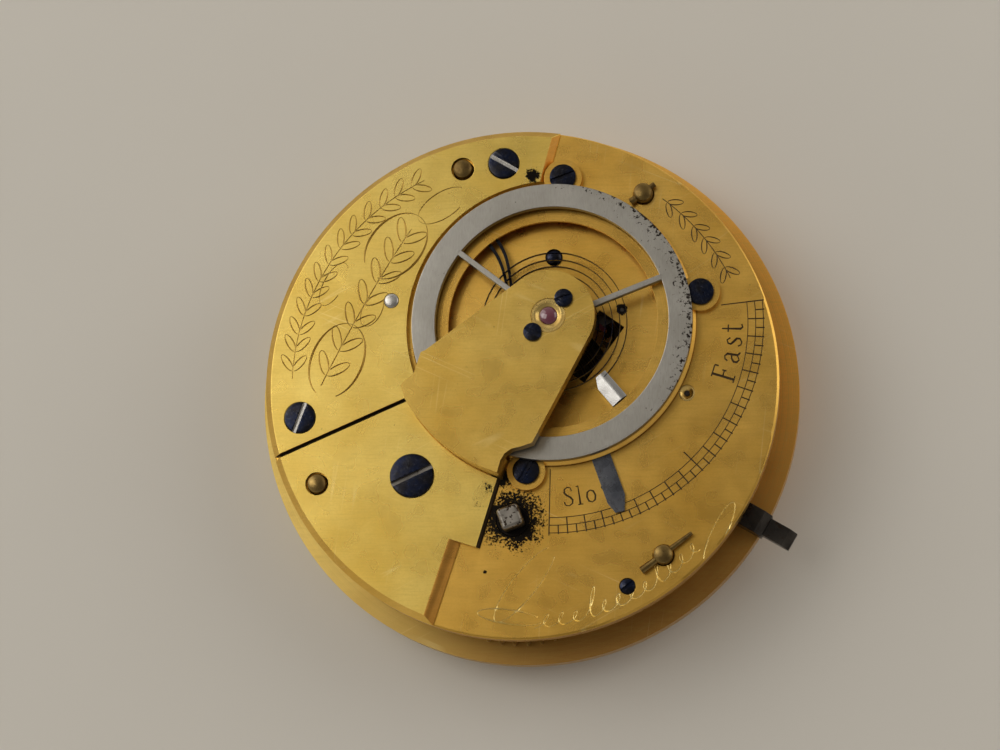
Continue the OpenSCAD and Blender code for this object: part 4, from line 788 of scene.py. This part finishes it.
# The cap ring holds the regulator's ring down on the plate. It is a flat gilt brass ring with three ears,
# each screwed to the plate by a blued screw.
gilt_ring = gilt_finish("gilt_cap_ring", (0.88, 0.55, 0.125), (0.68, 0.37, 0.06), turned=BALANCE)
dress("cap_ring", "gilt", 0.03, gilt_ring)
CAP_TOP, EAR_RING, EARS = 11.05, 11.8, ((86.5, 20), (11.5, 115), (-99.5, 60))
made = [slotted_screw(polar(EAR_RING, a, BALANCE), 1.05, 0.3, 0.5, CAP_TOP, Z_THREAD_END, s) for a, s in EARS]
settle(join("blued_cap_ring_screws", made), "cap_ring_screws")


# The regulator is a steel ring that turns round the recess, with a pointer over the scale and an arm whose
# two curb pins hold the hairspring. It is filed from sheet steel, polished, and has gone grey blue.
grey_steel = steel_finish("grey_blue_steel", (0.135, 0.14, 0.155), (0.075, 0.08, 0.095), 0.26, pits=0.25)
black_steel = steel_finish("black_steel", (0.022, 0.022, 0.026), (0.01, 0.01, 0.012), 0.34)
CURB_REACH = 8.2
regulator = worked("regulator", "regulator_polished", 0.01, grey_steel, black_steel)
for face in regulator.data.polygons:
    face.material_index = int((face.center.xy - Vector(BALANCE)).length < CURB_REACH)
settle(regulator, "regulator", body="regulator_body")


# The hairspring is a flat spiral of thin blued ribbon. Its outer end is pinned in the stud and its inner
# end in the collet on the balance staff.
SPRING_R, SPRING_PITCH, SPRING_COILS, SPRING_START = 5.9, 0.56, 8, -42.44
Z_SPRING, SPRING_H, SPRING_T, COIL_STEPS = 10.82, 0.32, 0.055, 64
ribbon = [(*polar(SPRING_R + 0.01, SPRING_START - 4.0, BALANCE), 1.0)]
for i in range(COIL_STEPS * SPRING_COILS + 1):
    t = 360 * i / COIL_STEPS
    ribbon.append((*polar(SPRING_R - SPRING_PITCH * t / 360, SPRING_START + t, BALANCE), 1.0))
hairspring = draw_path("hairspring_ribbon", [ribbon], Z_SPRING + SPRING_H / 2, extrude=SPRING_H / 2)
use(hairspring, "thickness", "SOLIDIFY", thickness=SPRING_T, offset=0.0)
smooth(hairspring)
spring_blue = mottled_finish("spring_blue", 1.0, 0.25, (0.6, 3), (0.014, 0.018, 0.04), (0.01, 0.01, 0.014),
                             (9.0, 2), 0.004, 0.4)
settle(hairspring, "hairspring", spring_blue)


# The hairspring stud is a small steel block with one sloping face, set in the recess floor. It is filed up
# and polished bright.
stud_steel = steel_finish("stud_steel", (0.55, 0.54, 0.52), (0.47, 0.46, 0.44), 0.17)
dress("hairspring_stud", "polished", 0.03, stud_steel)


# The balance cock bridges the balance and carries its upper pivot. It is cut from thick brass and gilt,
# screwed down from below, with a ruby end stone in a brass setting held by two blued screws.
gilt_cock = gilt_finish("gilt_cock", (0.78, 0.535, 0.135), (0.66, 0.405, 0.075))
dress("balance_cock", "gilt", 0.04, gilt_cock)
dress("cock_screw", "turned", 0.05, bare_steel)

Z_CROWN, Z_COCK, STONE_R, SETTING_R = 14.1, 12.7, 0.70, 1.33
setting = turn_on_lathe("jewel_setting_turned", BALANCE, (
    (0.15, Z_COCK + 0.4), (SETTING_R, Z_COCK + 0.4), (SETTING_R, Z_CROWN - 0.02),
    (SETTING_R - 0.04, Z_CROWN + 0.02), (1.02, Z_CROWN + 0.02), (0.98, Z_CROWN + 0.01),
    (0.80, Z_CROWN - 0.10), (0.72, Z_CROWN - 0.12), (0.72, Z_CROWN - 0.38), (0.15, Z_CROWN - 0.38),
    (0.15, Z_COCK + 0.4)), 64)
bright_brass = brass_finish("bright_brass", (0.80, 0.58, 0.20), (0.52, 0.34, 0.10), BALANCE, 0.24)
settle(setting, "jewel_setting", bright_brass)

stone = turn_on_lathe("end_stone_domed", BALANCE, (
    (0, 13.72), (0.62, 13.72), (STONE_R, 13.80), (STONE_R, 13.98), (0.68, 14.03), (0.62, 14.08),
    (0.50, 14.13), (0.34, 14.17), (0.17, 14.195), (0, 14.20)), 48)
ruby = mottled_finish("ruby", 0.0, 0.06, (1.2, 3), (0.17, 0.022, 0.048), (0.095, 0.012, 0.03),
                      (2.5, 2), 0.004, 0.3)
shader = ruby.node_tree.nodes["Principled BSDF"]
shader.inputs["IOR"].default_value = 1.77
shader.inputs["Coat Weight"].default_value = 0.6
settle(stone, "end_stone", ruby)
SCREW_RING, SETTING_SCREWS = 1.78, ((48, 15), (228, 150))
made = [slotted_screw(polar(SCREW_RING, a, BALANCE), 0.72, 0.28, 0.35, Z_CROWN + 0.02, Z_COCK + 0.4, s)
        for a, s in SETTING_SCREWS]
settle(join("blued_setting_screws", made), "setting_screws")


# The balance is a flat steel ring on three thin arms, which swings on its staff. It is cut from sheet
# steel, grained on the rim and rusted in pits on one side; the staff is turned steel, the collet brass.
RUST_BEARING = 22.0


def rim_finish():
    """Brushed steel, eaten by rust towards one side and the outer edge."""
    finish, shader, spot = new_finish("rim_steel", 1.0, 0.34)
    colour = tint(ease(cloud(spot, 0.35, 4), 0.32, 0.68), (0.43, 0.41, 0.37), (0.36, 0.34, 0.30))
    away = radius_from(spot, BALANCE)
    brushed = stretched(spot, 9.0, 1.6, 1.0)
    colour = tint(ease(cloud(brushed, 1.0, 4, 0.6), 0.40, 0.70, 0.0, 0.35), colour,
                  (0.27, 0.25, 0.225))
    side = ease(towards(spot, RUST_BEARING), 6.0, 14.0)
    rusty = calc("MULTIPLY", side, ease(away, 9.7, 10.95, 0.15, 1.0))
    eaten = calc("ADD", cloud(spot, 3.4, 5, 0.66), calc("MULTIPLY", rusty, 0.20))
    hole = ease(eaten, 0.68, 0.73)
    colour = tint(hole, colour, (0.03, 0.022, 0.018))
    feed(shader, "Base Color", colour)
    feed(shader, "Roughness", ease(hole, 0.0, 1.0, 0.34, 0.75))
    height = calc("SUBTRACT", cloud(brushed, 2.0, 3), calc("MULTIPLY", hole, 2.0))
    relief(shader, height, 0.012, 0.5)
    return finish


RIM_IN, RIM_OUT, Z_RIM, RIM_T, ARM_WIDE, HUB_R, STAFF_R = 9.15, 11.0, 11.5, 0.65, 0.45, 1.5, 0.5
Z_RIM_TOP = Z_RIM + RIM_T
rim = turn_on_lathe("rim", BALANCE, (
    (RIM_IN, Z_RIM + 0.04), (RIM_IN + 0.04, Z_RIM), (RIM_OUT - 0.04, Z_RIM), (RIM_OUT, Z_RIM + 0.04),
    (RIM_OUT, Z_RIM_TOP - 0.05), (RIM_OUT - 0.015, Z_RIM_TOP - 0.015), (RIM_OUT - 0.05, Z_RIM_TOP),
    (RIM_IN + 0.05, Z_RIM_TOP), (RIM_IN + 0.015, Z_RIM_TOP - 0.015), (RIM_IN, Z_RIM_TOP - 0.05),
    (RIM_IN, Z_RIM + 0.04)), 180)
hub = turn_on_lathe("hub", BALANCE, (
    (STAFF_R, Z_RIM), (HUB_R - 0.04, Z_RIM), (HUB_R, Z_RIM + 0.04), (HUB_R, Z_RIM_TOP - 0.04),
    (HUB_R - 0.04, Z_RIM_TOP), (STAFF_R, Z_RIM_TOP), (STAFF_R, Z_RIM)), 64)
ARM_BEARINGS, ARM_FROM, ARM_TO = (21.5, 142.5, 262.0), STAFF_R + 0.4, RIM_IN + 0.2
arms = []
for bearing in ARM_BEARINGS:
    middle = (*polar((ARM_TO + ARM_FROM) / 2, bearing, BALANCE), Z_RIM + RIM_T / 2)
    arm = block((ARM_TO - ARM_FROM, ARM_WIDE, RIM_T), middle, bearing)
    use(arm, "broken_edge", "BEVEL", width=0.06, segments=3)
    smooth(arm)
    arms.append(arm)
balance_wheel = join("balance_wheel_grained", [rim, hub, *arms])
settle(balance_wheel, "balance_wheel", rim_finish(), "balance")
mirror_steel = steel_finish("mirror_steel", (0.72, 0.71, 0.69), (0.60, 0.59, 0.57), 0.12)
# Painted shade: a dark steel for the roller, the lever and its arbor inside the movement, and for the
# pinions, whose pivots are also dark with old oil.
oiled_and_shaded_steel = steel_finish("oiled_and_shaded_steel", (0.17, 0.16, 0.15), (0.085, 0.08, 0.074), 0.28)
dress("balance_staff", "turned", 0.02, mirror_steel, "balance")
dress("hairspring_collet", "turned", 0.03, bright_brass, "balance")
dress("roller", "polished", 0.03, oiled_and_shaded_steel, "balance")
dress("impulse_pin", "ground", 0.02, ruby, "balance")


# The potence is the brass arm under the top plate that carries the balance's lower jewel. Its post is
# screwed up through the plate by a domed blued screw.
# Painted shade: the potence and the escape wheel are brass painted nearly black, as they lie in shade under
# the plate.
shaded_brass = brass_finish("shaded_brass", (0.04, 0.025, 0.012), (0.014, 0.01, 0.006))
dress("potence", "gilt", 0, shaded_brass)
dress("potence_jewel", "ground", 0.03, ruby)
POTENCE_SCREW = (2.5, 10.1)
potence_screw = turn_on_lathe("potence_screw_domed", POTENCE_SCREW, (
    (0, 6.8), (0.4, 6.8), (0.4, 9.6), (0.66, 9.6), (0.68, 9.63), (0.68, 9.72), (0.64, 9.78), (0.54, 9.85),
    (0.38, 9.91), (0.20, 9.935), (0, 9.94)))
settle(potence_screw, "potence_screw", blued)


# The lever and its two ruby pallet stones pass the escape wheel's push to the balance. The lever is filed
# from steel and polished, on an arbor between the plates.
# The lever and its arbor are painted dark as shade under the escape slot.
dress("lever", "polished", 0, oiled_and_shaded_steel, "lever_body")
dress("pallet_stones", "ground", 0.025, ruby, "lever_body")
dress("pallet_arbor", "turned", 0.025, oiled_and_shaded_steel, "lever_body")


# The going train: escape, fourth, third and centre wheels. Each wheel is cut from brass, crossed out and
# riveted to a pinion cut from one piece of steel with its arbor. The centre arbor carries the cannon pinion.
train_brass = brass_finish("train_brass", (0.66, 0.45, 0.14), (0.42, 0.27, 0.075))
for axle in ("escape", "fourth", "third", "centre"):
    body = f"{axle}_body"
    # The escape wheel takes the brass painted nearly black as shade.
    brass = shaded_brass if axle == "escape" else train_brass
    dress(f"{axle}_wheel", "crossed", 0.025, brass, body, 1)
    # The pinions are painted dark steel so that their pivots show dark: old oil and painted shade.
    pinion = worked(f"{axle}_pinion", f"{axle}_pinion_cut", 0.025, oiled_and_shaded_steel, segments=1)
    # The fourth pinion's end above the plate is dark with old oil and painted shade in its hole.
    if axle == "fourth":
        pinion.data.materials.append(oil_and_shade)
        for face in pinion.data.polygons:
            face.material_index = int(face.center.z > Z_TOP)
    settle(pinion, f"{axle}_pinion", body=body)
dress("cannon_pinion", "cut", 0.025, oiled_and_shaded_steel, "centre_body", 1)


# The fourth wheel's bush is a bright brass plug pressed into the top plate, with an oil sink round the
# pivot hole. It is turned on the lathe, and its rim stands a hair above the plate.
FOURTH = (13.05, -1.05)
bush = turn_on_lathe("fourth_bush_turned", FOURTH, (
    (0.23, Z_TOP), (0.62, Z_TOP), (0.62, Z_FACE - 0.01), (0.60, Z_FACE + 0.01), (0.50, Z_FACE + 0.01),
    (0.40, Z_FACE - 0.06), (0.30, Z_FACE - 0.16), (0.23, Z_FACE - 0.22), (0.23, Z_TOP)))
bush_brass = brass_finish("bush_brass", (0.86, 0.62, 0.22), (0.60, 0.40, 0.12), FOURTH, 0.20)
settle(bush, "fourth_bush", bush_brass)


# The great wheel drives the train. It is a thick brass wheel that turns on the fusee arbor, with the click
# that lets the fusee be wound without driving it back.
dress("great_wheel", "cut", 0.03, train_brass, "great_wheel_body")
dress("fusee_click", "cut", 0.03, bare_steel, "great_wheel_body")


# The fusee is a brass cone with a groove for the chain, on a steel arbor that ends in the winding square.
# The square is filed on the arbor and worn grey by the key.
fusee_brass = brass_finish("fusee_brass", (0.66, 0.46, 0.15), (0.40, 0.26, 0.07), FUSEE, 0.26)
dress("fusee_cone", "grooved", 0.02, fusee_brass, "fusee", 1)
SQUARE_W, SQUARE_H, SQUARE_TURN = 1.75, 2.0, 20.0
FOOT_R, ARBOR_R, PIVOT_R = 0.7, 0.9, 1.27
arbor = turn_on_lathe("arbor", FUSEE, (
    (0, Z_PLATE + 0.2), (FOOT_R - 0.05, Z_PLATE + 0.2), (FOOT_R, Z_PLATE + 0.25), (FOOT_R, Z_GAP + 0.06),
    (ARBOR_R, Z_GAP + 0.06), (ARBOR_R, Z_TOP - 0.3), (PIVOT_R - 0.03, Z_TOP - 0.3), (PIVOT_R, Z_TOP - 0.27),
    (PIVOT_R, Z_FACE + 0.02), (PIVOT_R - 0.03, Z_FACE + 0.05), (0, Z_FACE + 0.05)), 64)
square = block((SQUARE_W, SQUARE_W, SQUARE_H), (*FUSEE, Z_FACE + SQUARE_H / 2), SQUARE_TURN)
use(square, "worn_corners", "BEVEL", width=0.30, segments=4)
smooth(square)
# The square goes black towards its foot.
square_steel = steel_finish("square_steel", (0.29, 0.265, 0.23), (0.12, 0.108, 0.092), 0.34,
                            pits=1.1, dark_below=(11.3, 12.1))
settle(join("fusee_arbor_squared", [arbor, square]), "fusee_arbor", square_steel, "fusee")
dress("fusee_ratchet", "cut", 0.025, bare_steel, "fusee", 1)


# The fusee chain pulls the fusee round as the barrel takes it up. It is made of flat steel links like two
# eyes joined, one between two, held together by rivets.
BARREL = (-10.2, 6.5)
CHAIN_Z, CHAIN_H, LINK_PITCH, EYE_R, RIVET_R = 5.83, 0.36, 0.60, 0.14, 0.06
FUSEE_CHAIN_R, BARREL_CHAIN_R = 6.0 + 0.05 + EYE_R, 7.7 + 0.05 + EYE_R
gap = math.hypot(BARREL[0] - FUSEE[0], BARREL[1] - FUSEE[1])
way = math.degrees(math.atan2(BARREL[1] - FUSEE[1], BARREL[0] - FUSEE[0]))
lead = way + math.degrees(math.acos((FUSEE_CHAIN_R - BARREL_CHAIN_R) / gap))
route = [polar(FUSEE_CHAIN_R, lead + 100 - i, FUSEE) for i in range(101)]
route += [polar(BARREL_CHAIN_R, lead - i, BARREL) for i in range(301)]


def along(route, spacing):
    """Points at even spacing along a route."""
    spots, left = [Vector(route[0])], spacing
    for p, q in zip(route, route[1:]):
        p, q = Vector(p), Vector(q)
        span = (q - p).length
        done = left
        while done <= span:
            spots.append(p.lerp(q, done / span))
            done += spacing
        left = done - span
    return spots


eyes = ((LINK_PITCH, -120), (0.0, 60))
outline = [polar(EYE_R, first + 40 * i, (x, 0.0)) for x, first in eyes for i in range(7)]
corners, faces = [], []


def link_plate(p, q):
    """The outline of two eyes with a waist between, laid from one rivet to the next."""
    along_link = (q - p).normalized()
    across = Vector((-along_link.y, along_link.x))
    return [p + along_link * u + across * v for u, v in outline]


def add_prism(ring, low, high):
    """Raises a ring of points to an upright prism."""
    start, n = len(corners), len(ring)
    corners.extend((x, y, z) for z in (low, high) for x, y in ring)
    faces.append([start + i for i in reversed(range(n))])
    faces.append([start + n + i for i in range(n)])
    faces.extend([start + i, start + (i + 1) % n, start + n + (i + 1) % n, start + n + i] for i in range(n))


Z_CHAIN_TOP, PLATE_T = CHAIN_Z + CHAIN_H, 0.115
rivets = along(route, LINK_PITCH)
for k, (p, q) in enumerate(zip(rivets, rivets[1:])):
    if k % 2:
        add_prism(link_plate(p, q), CHAIN_Z + PLATE_T + 0.01, Z_CHAIN_TOP - PLATE_T - 0.01)
    else:
        add_prism(link_plate(p, q), CHAIN_Z + 0.01, CHAIN_Z + PLATE_T)
        add_prism(link_plate(p, q), Z_CHAIN_TOP - PLATE_T, Z_CHAIN_TOP - 0.01)
for p in rivets:
    add_prism([polar(RIVET_R, 60 * i, p) for i in range(6)], CHAIN_Z, Z_CHAIN_TOP)
mesh = bpy.data.meshes.new("fusee_chain_links")
mesh.from_pydata(corners, [], faces)
chain = bpy.data.objects.new("fusee_chain_links", mesh)
scene.collection.objects.link(chain)
smooth(chain, 40)
chain_steel = steel_finish("chain_steel", (0.30, 0.29, 0.28), (0.18, 0.17, 0.16), 0.30, pits=0.3)
settle(chain, "fusee_chain", chain_steel)


# The fusee stop is a sprung steel arm under the top plate that the last turn of chain lifts, so that the
# winding stops. It swings on a pin in a brass block, which a small blued screw holds from above.
dress("fusee_stop", "filed", 0.025, bare_steel, "fusee_stop_body")
dress("fusee_stop_block", "gilt", 0.03, gilt_bridge)
STOP_SCREW = (8.5, -16.1)
stop_screw = slotted_screw(STOP_SCREW, 0.62, 0.5, 0.35, Z_FACE - 0.4, 8.42, 40, 0.06)
settle(join("blued_stop_screw", [stop_screw]), "fusee_stop_screw")


# The barrel is a brass drum with a snapped-in cover, which holds the mainspring. It is turned all over, and
# the chain winds round its wall.
barrel_brass = brass_finish("barrel_brass", (0.68, 0.47, 0.15), (0.42, 0.27, 0.075), BARREL, 0.26)
dress("barrel_drum", "turned", 0.06, barrel_brass, "barrel")
dress("barrel_cover", "turned", 0.06, barrel_brass, "barrel")
barrel_arbor = turn_on_lathe("barrel_arbor_turned", BARREL, (
    (0, 2.15), (0.86, 2.15), (0.90, 2.19), (0.90, 4.55), (1.05, 4.55), (1.05, 5.35), (1.66, 5.35),
    (1.70, 5.39), (1.70, 8.06), (1.66, 8.10), (1.05, 8.10), (1.05, 8.81), (1.01, 8.85), (0.58, 8.85),
    (0.58, 11.02), (0.56, 11.06), (0.51, 11.10), (0.43, 11.13), (0.32, 11.15), (0.17, 11.165),
    (0, 11.17)), 48)
settle(barrel_arbor, "barrel_arbor", bare_steel)
dress("mainspring", "coiled", 0, bare_steel)
dress("setup_ratchet", "cut", 0.03, bare_steel)
dress("setup_click", "filed", 0.03, bare_steel)


# The bolt holds the movement in its case: a steel block with a bevelled tongue past the rim, pushed out by
# a leaf spring and slid in with a finger nail. Both are dark with age.
dark_steel = steel_finish("dark_steel", (0.075, 0.066, 0.058), (0.032, 0.028, 0.025), 0.30, pits=0.5)
dress("bolt", "filed", 0.05, dark_steel, "bolt_body")
dress("bolt_spring", "bent", 0.02, dark_steel)


# The motion work under the dial takes the minute hand's turn down to the hour hand's. Its wheels are brass
# and its post is steel, screwed into the pillar plate.
dress("minute_wheel", "cut", 0.025, train_brass, "minute", 1)
dress("hour_wheel", "cut", 0.025, train_brass, "hour", 1)
dress("minute_post", "cut", 0.025, bare_steel, segments=1)
